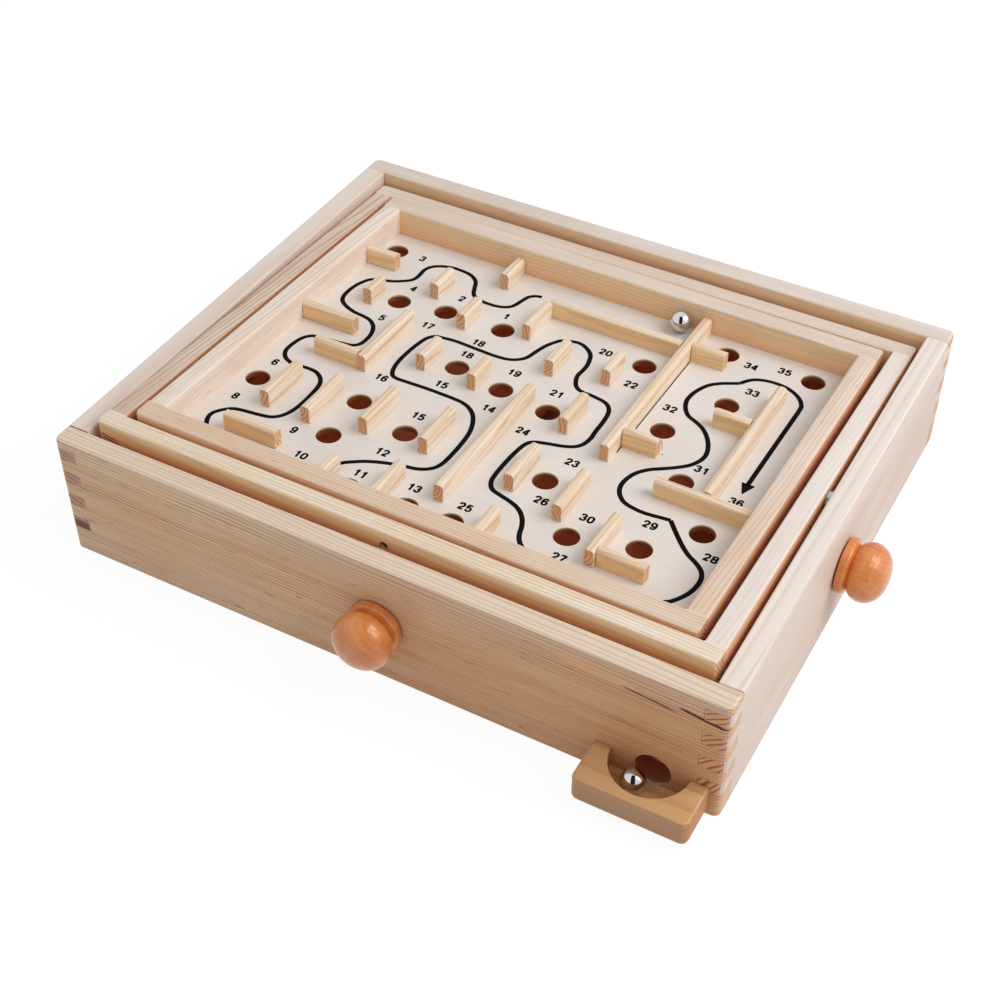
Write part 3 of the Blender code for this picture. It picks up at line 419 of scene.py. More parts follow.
@dataclass(frozen=True)
class Pine:
    """Smooth pale pine with year rings that run through the piece as in solid wood."""

    pale: Colour = Colour(240, 226, 214)
    tan: Colour = Colour(230, 208, 188)
    line: Colour = Colour(214, 176, 142)
    end: Colour = Colour(222, 178, 140)
    end_line: Colour = Colour(184, 118, 76)
    # Painted sheen on faces that look up and in patches just below the rim.
    top_sheen: Optional[Colour] = None
    # Painted shade towards the right end of faces that don't look up.
    right_end_shade: Optional[Colour] = None
    # Painted shade inside holes.
    bore: Colour = Colour(176, 98, 58)
    contrast: float = 1.0
    gloss: float = 0.42

    def spotted(self, sheet: Sheet, u: Signal, w: Signal, marks: Sequence[Mark],
                colour: Signal) -> Signal:
        """Draw marks over a colour.

        Args:
            sheet: The material's sheet.
            u: Distance along the piece.
            w: Height on the piece.
            marks: What is drawn.
            colour: The colour below.

        Returns:
            The colour with the marks on it.
        """
        for mark in marks:
            (x0, z0), (x1, z1) = mark.start, mark.end
            slope = (z1 - z0) / (x1 - x0)
            middle, half = (x0 + x1) * 0.5 * MM, abs(x1 - x0) * 0.5 * MM
            away = abs(w - z0 * MM - (u - x0 * MM) * slope)
            reach = (abs(u - middle) / half).step(1.0, 0.55)
            near = (away / (reach * (mark.width * MM) + 0.00002)).step(1.1, 0.6)
            colour = sheet.tint(near * reach.step(0.0, 0.2) * mark.strength, colour, mark.colour)
        return colour

    def dress(self, name: str, lay: Lay, pith: Pith, spot: tuple[Vector, Vector],
              painted_light: Optional[PaintedLightAndShade] = None, inward: Sequence[Vector] = (),
              marks: Sequence[Mark] = (), shaded_bores: Sequence[tuple[float, float, float]] = ()
              ) -> bpy.types.Material:
        """Make the material of one piece.

        Args:
            name: The piece's name.
            lay: Its lay, with the grain along its length.
            pith: Where its rings are centred, from the middle of the piece.
            spot: The middle and half size of the piece in its lay.
            painted_light: The colours of its faces that look into gaps.
            inward: The directions in which those faces look.
            marks: Cracks and stains on its face.
            shaded_bores: Dark insides of holes: distance along, height and radius, in millimetres.

        Returns:
            The material.
        """
        sheet = Sheet("pine_" + name)
        middle, half = spot
        u, v, w = sheet.local(lay)
        u, v, w = u - middle.x, v - middle.y, w - middle.z
        here = sheet.vector(u, v, w)
        spelt = sum(ord(letter) * (place + 1) for place, letter in enumerate(name))
        seed = tuple(7.3 * spelt % 97 + shift for shift in (0.0, 13.7, 29.1))
        bend = sheet.noise(sheet.stretch(here, (7, 20, 20), seed), 1.0) - 0.5
        waver = sheet.noise(sheet.stretch(here, (36, 130, 130), seed), 2.0) - 0.5
        aside = v - pith.across + u * pith.lean
        far = aside * aside + (w - pith.up) * (w - pith.up)
        radius = sheet.math("SQRT", far) + bend * 0.006 + waver * 0.0006
        years = sheet.noise(sheet.vector(radius * 230, 0.0, 0.0), 1.0)
        phase = (radius / pith.ring + years * 1.6).fract()
        late = phase.step(0.45, 0.9) * phase.step(1.0, 0.95)
        fibre = sheet.noise(sheet.stretch(here, (60, 2200, 2200), seed), 2.0, 0.6)
        streak = sheet.noise(sheet.stretch(here, (9, 300, 300), seed), 2.0)
        cloud = sheet.noise(sheet.stretch(here, (14, 60, 60), seed), 2.0)
        colour = sheet.tint(cloud.step(0.32, 0.7), self.pale, self.tan)
        colour = sheet.tint(late * (0.7 * self.contrast) * streak.step(0.15, 0.65),
                            colour, self.line)
        colour = sheet.tint(streak.step(0.56, 0.8) * (0.3 * self.contrast), colour, self.line)
        resin = sheet.noise(sheet.stretch(here, (120, 1500, 1500), seed), 0.0).step(0.76, 0.84)
        colour = sheet.tint(resin * (0.4 * self.contrast), colour, self.line.scaled(0.8))
        colour = sheet.tint(1.0, colour, sheet.ramp(
            fibre, [(0.25, Colour(246, 243, 240)), (0.75, Colour(255, 255, 255))]), "MULTIPLY")
        facing = sheet.facing()
        upper = sheet.dot(facing, lay.up).step(0.35, 0.85)
        # Painted shade: faces that don't look up darken towards the right end.
        if self.right_end_shade:
            side = (u / half.x).step(-0.7, 0.9) * (1 - upper)
            colour = sheet.tint(side, colour, self.right_end_shade, "MULTIPLY")
        # Painted sheen: faces that look up, and patches just below the rim, are mixed towards a paler
        # colour.
        if self.top_sheen:
            band = (w - half.z).step(-0.017, -0.003) * 0.4 * cloud.step(0.3, 0.6)
            pale = sheet.tint(late * 0.35, self.top_sheen, self.line)
            colour = sheet.tint((upper * 0.85).highest(band), colour, pale)
        # Painted bounce light and shade: faces that look into gaps take colours that change with the
        # depth below the rim.
        if painted_light:
            down = ((half.z - w) / painted_light.reach).clamped()
            deep = sheet.ramp(down, [(0.0, painted_light.rim), (0.45, painted_light.middle), (1.0, painted_light.low)])
            deep = sheet.tint(late * 0.5 * streak.step(0.15, 0.65), deep, self.line)
            into = [sheet.dot(facing, way).step(0.55, 0.9) for way in inward]
            share = into[0]
            for other in into[1:]:
                share = share.highest(other)
            colour = sheet.tint(share * 0.9, colour, deep)
        cut = abs(sheet.dot(facing, lay.along)).step(0.6, 0.9)
        rings = sheet.ramp(late * 0.8 + fibre * 0.2, [(0.1, self.end), (0.8, self.end_line)])
        colour = sheet.tint(cut * 0.9, colour, rings)
        colour = self.spotted(sheet, u, w, marks, colour)
        gaps = [abs(part) - size for part, size in zip((u, v, w), half)]
        top = gaps[0].highest(gaps[1]).highest(gaps[2])
        bottom = gaps[0].lowest(gaps[1]).lowest(gaps[2])
        edge = gaps[0] + gaps[1] + gaps[2] - top - bottom
        # Painted highlight: a paler line along the edges.
        edge_highlight = edge.step(-0.0008, -0.0002) * (0.4 + 0.4 * cloud)
        colour = sheet.tint(edge_highlight * 0.5, colour, self.pale)
        # Painted shade: the walls of the holes are darkened.
        for x, z, radius in shaded_bores:
            away = (u - x * MM) * (u - x * MM) + (w - z * MM) * (w - z * MM)
            within = (sheet.math("SQRT", away) - radius * MM).step(0.0008, 0.0003)
            back = (v + half.y).step(0.0002, 0.0014)
            colour = sheet.tint(within * back * 0.95, colour, self.bore)
        relief = sheet.bump(fibre * 0.6 + late * 0.4, 0.00004, 0.4)
        return sheet.surface(
            Base_Color=colour, Roughness=self.gloss + 0.16 * fibre + 0.12 * cut, Normal=relief,
            Specular_IOR_Level=0.28, Coat_Weight=0.04, Coat_Roughness=0.3)


@dataclass(frozen=True)
class PaintedBoard:
    """The maze board: pale paint on a thin board, with bare brown wood in the holes."""

    paint: Colour = Colour(237, 231, 226)
    shade: Colour = Colour(230, 221, 213)
    rim: Colour = Colour(226, 196, 160)
    core: Colour = Colour(150, 86, 52)

    def dress(self, name: str, lay: Lay, top: float) -> bpy.types.Material:
        """Make the board's material.

        Args:
            name: The material's name.
            lay: The board's lay, with faint streaks along its length.
            top: The height of its painted face in the lay, in metres.

        Returns:
            The material.
        """
        sheet = Sheet(name)
        u, v, w = sheet.local(lay)
        here = sheet.vector(u, v, w)
        cloud = sheet.noise(sheet.stretch(here, (22, 30, 30)), 3.0)
        streak = sheet.noise(sheet.stretch(here, (14, 420, 420)), 2.0)
        speck = sheet.noise(sheet.stretch(here, (2400, 2400, 2400)), 1.0)
        faint = cloud.step(0.35, 0.7) * 0.7 + streak.step(0.45, 0.75) * 0.3
        colour = sheet.tint(faint, self.paint, self.shade)
        colour = sheet.tint(speck.step(0.62, 0.75) * 0.12, colour, self.shade.scaled(0.85))
        side = 1 - abs(sheet.dot(sheet.facing(), lay.up)).step(0.35, 0.75)
        plies = (w * 1000).fract().step(0.3, 0.7)
        core = sheet.tint(plies * 0.5, self.core, self.core.scaled(0.75))
        core = sheet.tint((w - top).step(-0.0011, -0.0006), core, self.rim)
        colour = sheet.tint(side, colour, core)
        relief = sheet.bump(speck * 0.4 + streak * 0.6, 0.00003, 0.5)
        return sheet.surface(Base_Color=colour, Roughness=0.5 + 0.15 * speck, Normal=relief)


@dataclass(frozen=True)
class Plywood:
    """The plain board of the sloping floor, with a faint painted glow for light bounced about in the
    box.
    """

    pale: Colour = Colour(236, 158, 110)
    dark: Colour = Colour(220, 134, 88)
    inner: Colour = Colour(226, 108, 60)
    painted_glow: float = 0.05

    def dress(self, name: str, lay: Lay) -> bpy.types.Material:
        """Make the material with broad peeled-veneer figure and a faint painted glow.

        Args:
            name: The material's name.
            lay: The lay of the figure.

        Returns:
            The material.
        """
        sheet = Sheet(name)
        u, v, w = sheet.local(lay)
        here = sheet.vector(u, v, w)
        wave = sheet.noise(sheet.stretch(here, (6, 30, 30)), 3.0)
        band = (wave * 9.0).fract().step(0.1, 0.9)
        fibre = sheet.noise(sheet.stretch(here, (60, 1600, 1600)), 2.0)
        colour = sheet.tint(band * 0.4 + fibre * 0.2, self.pale, self.dark)
        return sheet.surface(Base_Color=colour, Roughness=0.6 + 0.1 * fibre,
                             Normal=sheet.bump(fibre, 0.00005, 0.5),
                             # Painted glow: a faint orange emission stands in for the light bounced
                             # about inside the box.
                             Emission_Color=sheet.tint(band * 0.3, self.inner, self.inner.scaled(0.9)),
                             Emission_Strength=self.painted_glow)


@dataclass(frozen=True)
class Lacquer:
    """Turned wood under a thick honey lacquer."""

    light: Colour = Colour(234, 150, 78)
    deep: Colour = Colour(202, 106, 42)

    def dress(self, name: str, centre: Vector, axis: Vector) -> bpy.types.Material:
        """Make the material of a knob with its grain along the shaft.

        Args:
            name: The knob's name.
            centre: A point on its axis.
            axis: The direction of its axis.

        Returns:
            The material.
        """
        sheet = Sheet("lacquer_" + name)
        side = axis.orthogonal().normalized()
        lay = Lay(centre, axis, side, axis.cross(side))
        u, v, w = sheet.local(lay)
        here = sheet.vector(u, v, w)
        bend = sheet.noise(sheet.stretch(here, (40, 70, 70)), 2.0)
        phase = ((v + bend * 0.006) * 420).fract()
        late = phase.step(0.1, 0.8) * phase.step(1.0, 0.9)
        fleck = sheet.noise(sheet.stretch(here, (260, 2200, 2200)), 2.0)
        cloud = sheet.noise(sheet.stretch(here, (90, 110, 110)), 2.0)
        colour = sheet.tint(cloud.step(0.3, 0.7) * 0.6 + late * 0.2, self.light, self.deep)
        colour = sheet.tint(fleck.step(0.55, 0.8) * 0.25, colour, self.deep.scaled(0.85))
        relief = sheet.bump(fleck, 0.00002, 0.3)
        return sheet.surface(Base_Color=colour, Roughness=0.36 + 0.1 * fleck, Normal=relief,
                             Coat_Weight=0.6, Coat_Roughness=0.14)


class Metal(Enum):
    """The bare metals: colour, roughness and the scale of their fine marks."""

    BALL = (Colour(214, 212, 214), 0.06, 900.0)
    SHAFT = (Colour(186, 188, 196), 0.24, 1500.0)
    BRONZE = (Colour(132, 78, 52), 0.38, 1500.0)
    WIRE = (Colour(206, 204, 200), 0.30, 2600.0)

    def dress(self, name: str) -> bpy.types.Material:
        """Make the metal's material with faint wiping marks.

        Args:
            name: The material's name.

        Returns:
            The material.
        """
        colour, rough, scale = self.value
        sheet = Sheet(name)
        here = sheet.stretch(sheet.place(), (scale, scale * 0.2, scale))
        mark = sheet.noise(here, 2.0)
        shade = sheet.tint(mark.step(0.3, 0.8) * 0.4, colour, colour.scaled(0.86))
        return sheet.surface(Base_Color=shade, Metallic=1.0, Roughness=rough * (0.7 + 0.6 * mark))


@dataclass(frozen=True)
class Cotton:
    """Twisted cotton cord."""

    dark: Colour = Colour(58, 54, 52)
    light: Colour = Colour(96, 90, 86)

    def dress(self, name: str) -> bpy.types.Material:
        """Make the cord's material with loose fibres.

        Args:
            name: The material's name.

        Returns:
            The material.
        """
        sheet = Sheet(name)
        hair = sheet.noise(sheet.stretch(sheet.place(), (5200, 5200, 5200)), 3.0)
        return sheet.surface(
            Base_Color=sheet.tint(hair.step(0.35, 0.7), self.dark, self.light), Roughness=0.8,
            Normal=sheet.bump(hair, 0.00005, 0.6), Sheen_Weight=0.3)


@dataclass(frozen=True)
class Ink:
    """Printed black ink that has sunk a little into the paint."""

    black: Colour = Colour(4, 4, 4)
    grey: Colour = Colour(20, 18, 18)

    def dress(self, name: str) -> bpy.types.Material:
        """Make the ink's material.

        Args:
            name: The material's name.

        Returns:
            The material.
        """
        sheet = Sheet(name)
        grain = sheet.noise(sheet.stretch(sheet.place(), (1600, 1600, 1600)), 3.0)
        return sheet.surface(
            Base_Color=sheet.tint(grain.step(0.5, 0.8), self.black, self.grey),
            Roughness=0.7 + 0.2 * grain, Specular_IOR_Level=0.1)


def put_mesh(name: str, shape: bmesh.types.BMesh, material: bpy.types.Material,
             smooth: bool = True) -> bpy.types.Object:
    """Turn a bmesh into an object of the scene.

    Args:
        name: The piece's name.
        shape: The mesh, which is freed.
        material: Its material.
        smooth: Whether its faces are shaded smooth.

    Returns:
        The object.
    """
    bmesh.ops.recalc_face_normals(shape, faces=shape.faces)
    mesh = bpy.data.meshes.new(name)
    shape.to_mesh(mesh)
    shape.free()
    mesh.materials.append(material)
    mesh.polygons.foreach_set("use_smooth", [smooth] * len(mesh.polygons))
    piece = bpy.data.objects.new(name, mesh)
    bpy.context.scene.collection.objects.link(piece)
    return piece


def settle(piece: bpy.types.Object, body: str, slot: str, *nodes: str) -> None:
    """Let a piece ride on a body and hide the CAD nodes that it stands for.

    Args:
        piece: The finished object.
        body: The body that carries it.
        slot: The record's material slot. It is not used.
        nodes: The CAD nodes that it stands for, if any.
    """
    if nodes:
        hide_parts(*nodes)
    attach(piece, body)
    log.info("%s rides on %s", piece.name, body)


def paint(node: str, material: bpy.types.Material) -> None:
    """Give a CAD node its material.

    Args:
        node: The node's name.
        material: What it is made of.
    """
    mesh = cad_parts[node].data
    if len(mesh.materials):
        for index in range(len(mesh.materials)):
            mesh.materials[index] = material
    else:
        mesh.materials.append(material)
    log.info("%s has %s", node, material.name)


def spot_of(node: str, lay: Lay) -> tuple[Vector, Vector]:
    """The middle and half size of a CAD node along a lay's directions."""
    return lay.spread(vertex.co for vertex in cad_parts[node].data.vertices)


def smooth_path(points: Sequence[Point], step: float) -> list[Vector]:
    """Draw a smooth line through points.

    Args:
        points: The points, in millimetres.
        step: The distance between the drawn points, about.

    Returns:
        Points on a smooth curve, with no height.
    """
    given = [Vector((x, y, 0.0)) for x, y in points]
    given = [2 * given[0] - given[1]] + given + [2 * given[-1] - given[-2]]
    drawn = []
    for a, b, c, d in zip(given, given[1:], given[2:], given[3:]):
        count = max(1, round((c - b).length / step))
        for part in range(count):
            t = part / count
            drawn.append(0.5 * ((2 * b) + (c - a) * t + (2 * a - 5 * b + 4 * c - d) * t * t
                                + (3 * b - a - 3 * c + d) * t ** 3))
    return drawn + [given[-2]]


def skin(shape: bmesh.types.BMesh, rings: Iterable[Sequence[Vector]]) -> None:
    """Add a closed skin through rings that have the same number of points.

    Args:
        shape: The mesh that takes it.
        rings: The rings in order.
    """
    before: list[bmesh.types.BMVert] = []
    for ring in rings:
        now = [shape.verts.new(point) for point in ring]
        if before:
            for turn in range(len(now)):
                shape.faces.new((before[turn], before[turn - 1], now[turn - 1], now[turn]))
        else:
            shape.faces.new(now)
        before = now
    shape.faces.new(before[::-1])


def tube(shape: bmesh.types.BMesh, path: Sequence[Vector], radius: float, sides: int) -> None:
    """Add a round tube along a path, with closed ends.

    Args:
        shape: The mesh that takes it.
        path: Points along its middle.
        radius: Its radius.
        sides: How many sides it has.
    """
    angles = [2 * math.pi * turn / sides for turn in range(sides)]
    rings: list[list[Vector]] = []
    normal = (path[1] - path[0]).orthogonal().normalized()
    for index, point in enumerate(path):
        ahead = path[min(index + 1, len(path) - 1)] - path[max(index - 1, 0)]
        ahead.normalize()
        normal = (normal - ahead * normal.dot(ahead)).normalized()
        side = ahead.cross(normal)
        rings.append([point + (normal * math.cos(angle) + side * math.sin(angle)) * radius
                      for angle in angles])
    skin(shape, rings)


def outline(half_width: float, low: float, high: float, rounds: tuple[float, float],
            segments: int = 5) -> list[Point]:
    """A beam's cross-section with two rounded upper corners.

    Args:
        half_width: Half its width.
        low: Its lower height.
        high: Its upper height.
        rounds: The rounding of the corner at the negative and at the positive side.
        segments: How many steps a rounding has.

    Returns:
        Points across and up, always the same number of them.
    """
    points = [(half_width, low)]
    for side, radius in ((1, rounds[1]), (-1, rounds[0])):
        steps = range(segments + 1) if side > 0 else range(segments, -1, -1)
        for step in steps:
            angle = math.pi / 2 * step / segments
            points.append((side * (half_width - radius + radius * math.cos(angle)),
                           high - radius + radius * math.sin(angle)))
    return points + [(-half_width, low)]


def add_beam(shape: bmesh.types.BMesh, lay: Lay, line: float,
             rings: Sequence[tuple[float, Sequence[Point]]]) -> None:
    """Add a beam that runs along a lay's length through cross-sections.

    Args:
        shape: The mesh that takes it.
        lay: Its lay.
        line: Where its middle lies across the lay, in millimetres.
        rings: Distances along, each with its cross-section.
    """
    skin(shape, [[lay.place(along, line + across, up) for across, up in section]
                 for along, section in rings])


def shrunk(section: Sequence[Point], by: float) -> list[Point]:
    """A cross-section drawn in on all sides, for a softened end.

    Args:
        section: The full cross-section.
        by: How far it is drawn in, in millimetres.

    Returns:
        The smaller cross-section.
    """
    middle = sum(point[1] for point in section) / len(section)
    wide = max(point[0] for point in section)
    tall = max(abs(point[1] - middle) for point in section)
    return [(x * (1 - by / wide), middle + (y - middle) * (1 - by / tall)) for x, y in section]


def pulled(section: Sequence[Point], sign: int, by: float) -> list[Point]:
    """A cross-section with one of its sides drawn in."""
    return [(x - sign * by, y) if x * sign > 0 else (x, y) for x, y in section]


def drill(piece: bpy.types.Object, start: Vector, end: Vector, radius: float) -> None:
    """Cut a round hole into a piece.

    Args:
        piece: The piece.
        start: One end of the hole's axis.
        end: The other end.
        radius: Its radius.
    """
    shape = bmesh.new()
    way = end - start
    place = Matrix.Translation((start + end) / 2) @ way.to_track_quat("Z", "Y").to_matrix().to_4x4()
    bmesh.ops.create_cone(shape, cap_ends=True, segments=32, radius1=radius, radius2=radius,
                          depth=way.length, matrix=place)
    bit = put_mesh("bit", shape, piece.data.materials[0], smooth=False)
    cut = piece.modifiers.new("hole", "BOOLEAN")
    cut.object = bit
    cut.solver = "EXACT"
    bpy.context.view_layer.update()
    graph = bpy.context.evaluated_depsgraph_get()
    made = bpy.data.meshes.new_from_object(piece.evaluated_get(graph))
    piece.modifiers.clear()
    old = piece.data
    piece.data = made
    bpy.data.meshes.remove(old)
    bpy.data.objects.remove(bit)


def soften(piece: bpy.types.Object) -> None:
    """Shade a piece's roundings smooth and keep its edges sharp."""
    piece.data.shade_smooth()
    piece.data.set_sharp_from_angle(angle=math.radians(35))


def resample(path: Sequence[Vector], step: float) -> list[Vector]:
    """Points at even steps along a path.

    Args:
        path: The path.
        step: The step's length.

    Returns:
        The new points, with the path's two ends.
    """
    drawn = [path[0]]
    for start, end in zip(path, path[1:]):
        count = max(1, round((end - start).length / step))
        drawn += [start.lerp(end, part / count) for part in range(1, count + 1)]
    return drawn


def twisted(path: Sequence[Vector], offset: float, pitch: float,
            strands: int = 3) -> list[list[Vector]]:
    """Paths of the strands of a twisted cord.

    Args:
        path: The cord's middle.
        offset: How far a strand lies from it.
        pitch: The length of one twist.
        strands: How many strands there are.

    Returns:
        One path for each strand, with as many points as the middle.
    """
    made: list[list[Vector]] = [[] for _ in range(strands)]
    normal = (path[1] - path[0]).orthogonal().normalized()
    gone = 0.0
    for index, point in enumerate(path):
        gone += (point - path[max(index - 1, 0)]).length
        ahead = (path[min(index + 1, len(path) - 1)] - path[max(index - 1, 0)]).normalized()
        normal = (normal - ahead * normal.dot(ahead)).normalized()
        side = ahead.cross(normal)
        for number, strand in enumerate(made):
            angle = 2 * math.pi * (gone / pitch + number / strands)
            strand.append(point + (normal * math.cos(angle) + side * math.sin(angle)) * offset)
    return made


@dataclass
class Box:
    """The finger-jointed box with its floor, post, cup, eyes and pins."""

    front_wood: Pine = Pine(
        pale=Colour(246, 216, 184), tan=Colour(238, 200, 162), line=Colour(196, 140, 98),
        end=Colour(228, 194, 164), end_line=Colour(206, 160, 124), top_sheen=Colour(238, 222, 202),
        right_end_shade=Colour(240, 220, 200), contrast=1.4)
    right_wood: Pine = Pine(
        pale=Colour(230, 216, 206), tan=Colour(222, 203, 191), line=Colour(214, 184, 162),
        end=Colour(230, 166, 112), end_line=Colour(150, 76, 40), top_sheen=Colour(249, 240, 233),
        contrast=0.8)
    left_wood: Pine = Pine(
        pale=Colour(234, 219, 209), tan=Colour(228, 210, 198), line=Colour(212, 186, 168),
        end=Colour(206, 160, 130), end_line=Colour(158, 102, 76), top_sheen=Colour(244, 229, 217),
        contrast=0.5)
    back_wood: Pine = Pine(
        pale=Colour(240, 231, 224), tan=Colour(233, 219, 208), line=Colour(219, 194, 172),
        contrast=0.8)
    cup_wood: Pine = Pine(
        pale=Colour(226, 182, 134), tan=Colour(216, 168, 118), line=Colour(190, 132, 84),
        end=Colour(190, 132, 84), contrast=0.8, gloss=0.36)
    # Painted shade: the cup's faces that look forwards are darker and greyer.
    cup_front_painted_shade: PaintedLightAndShade = PaintedLightAndShade(Colour(192, 152, 118), Colour(188, 146, 110), Colour(182, 140, 104))
    old_glue: Pine = Pine(
        pale=Colour(158, 84, 46), tan=Colour(140, 70, 38), line=Colour(110, 52, 28))
    inner_wood: Pine = Pine(pale=Colour(230, 196, 156), tan=Colour(216, 174, 130))
    front_shaded_bores: Sequence[tuple[float, float, float]] = ((122.7, -18.25, 8.0),)
    wall_length: float = 300.0
    wall: float = 10.0
    height: float = 60.0
    seam: float = 0.2
    seam_place: float = 115.0
    glue_depth: float = 6.0
    glue_sunk: float = 0.06
    old_glue_sunk: float = 0.5
    left_marks: Sequence[Mark] = (
        Mark((-130, -16), (-120.5, -16), 3.2, Colour(100, 44, 24), 0.8),)
    front_marks: Sequence[Mark] = (
        Mark((-120, 26), (-88, 22), 3.0, Colour(244, 196, 144), 0.55),
        Mark((78, 23.5), (116, 21.0), 2.4, Colour(244, 190, 138), 0.6),
        Mark((106, 20.6), (131, 17.9), 0.42, Colour(104, 58, 30), 1.0),
        Mark((129, 21.2), (151, 18.5), 0.85, Colour(84, 42, 20), 1.0),
        Mark((-34.5, -4.4), (-31.5, -4.7), 0.3, Colour(120, 78, 52), 0.8),
        Mark((-8, 16), (-4, 15.8), 0.3, Colour(140, 96, 66), 0.7))

    def dress_walls(self) -> None:
        """Pine walls, each with its own rings and marks and painted bounce light and shade on its
        inner face.
        """
        straight, turned = BOX_LAY, BOX_LAY.turned()
        walls = (
            ("front_wall", self.front_wood, straight, Pith(0.014, 0.046, 0.0014, 0.03),
             BACK_PAINTED_LIGHT, BOX_LAY.across, self.front_marks, self.front_shaded_bores),
            ("back_wall", self.back_wood, straight, Pith(-0.060, 0.012, 0.0016, 0.02),
             BACK_PAINTED_LIGHT, BOX_LAY.across * -1, (), ()),
            ("left_wall", self.left_wood, turned, Pith(0.010, -0.050, 0.0022, 0.03),
             LEFT_PAINTED_LIGHT, BOX_LAY.along, self.left_marks, ()),
            ("right_wall", self.right_wood, turned, Pith(-0.034, -0.034, 0.0024, 0.02),
             BACK_PAINTED_LIGHT, BOX_LAY.along * -1, (), ()))
        for node, wood, lay, pith, painted_light, inward, marks, shaded_bores in walls:
            paint(node, wood.dress(
                node, lay, pith, spot_of(node, lay), painted_light, (inward,), marks, shaded_bores))

    def build_glue(self) -> None:
        """Glue lines in the seams on the rim. The one at the front left has sunk and darkened."""
        ends = self.wall_length / 2 - self.wall / 2 - 0.25
        reach = self.wall / 2 - 1.0
        seams = (("front_left", -1, -1, self.old_glue), ("front_right", 1, -1, self.right_wood),
                 ("back_left", -1, 1, self.left_wood), ("back_right", 1, 1, self.right_wood))
        for name, side, end, wood in seams:
            shape = bmesh.new()
            rim = self.height - (self.old_glue_sunk if wood is self.old_glue else self.glue_sunk)
            section = outline(self.seam / 2, rim - self.glue_depth, rim, (0.02, 0.02), 2)
            add_beam(shape, BOX_LAY, end * self.seam_place,
                     [(side * ends - reach, section), (side * ends + reach, section)])
            glued = wood.dress("glue_" + name, BOX_LAY, Pith(0.03, 0.03),
                               (Vector(), Vector((1, 1, 1))))
            settle(put_mesh(name + "_glue_line", shape, glued, smooth=False), "box", "box_pine")

    def dress_inside(self) -> None:
        """Floor, post, cup and the metal of the eyes and pins."""
        paint("sloping_floor", Plywood().dress("plywood_floor", BOX_LAY))
        post = BOX_LAY.upright()
        paint("right_shaft_post", self.inner_wood.dress(
            "right_shaft_post", post, Pith(0.03, 0.01), spot_of("right_shaft_post", post)))
        paint("catch_cup", self.cup_wood.dress(
            "catch_cup", BOX_LAY, Pith(0.012, -0.034, 0.0030), spot_of("catch_cup", BOX_LAY),
            self.cup_front_painted_shade, (BOX_LAY.across * -1,)))
        metals = (
            (Metal.WIRE.dress("bright_wire"),
             ("front_guide_eye", "back_guide_eye", "left_guide_eye", "right_guide_eye")),
            (Metal.SHAFT.dress("steel_pin"), ("left_frame_pin", "right_frame_pin")),
            (Metal.BRONZE.dress("bronze_pin"), ("front_tray_pin", "back_tray_pin")))
        for material, nodes in metals:
            for node in nodes:
                paint(node, material)

    def build(self) -> None:
        """Dress the whole box."""
        self.dress_walls()
        self.build_glue()
        self.dress_inside()


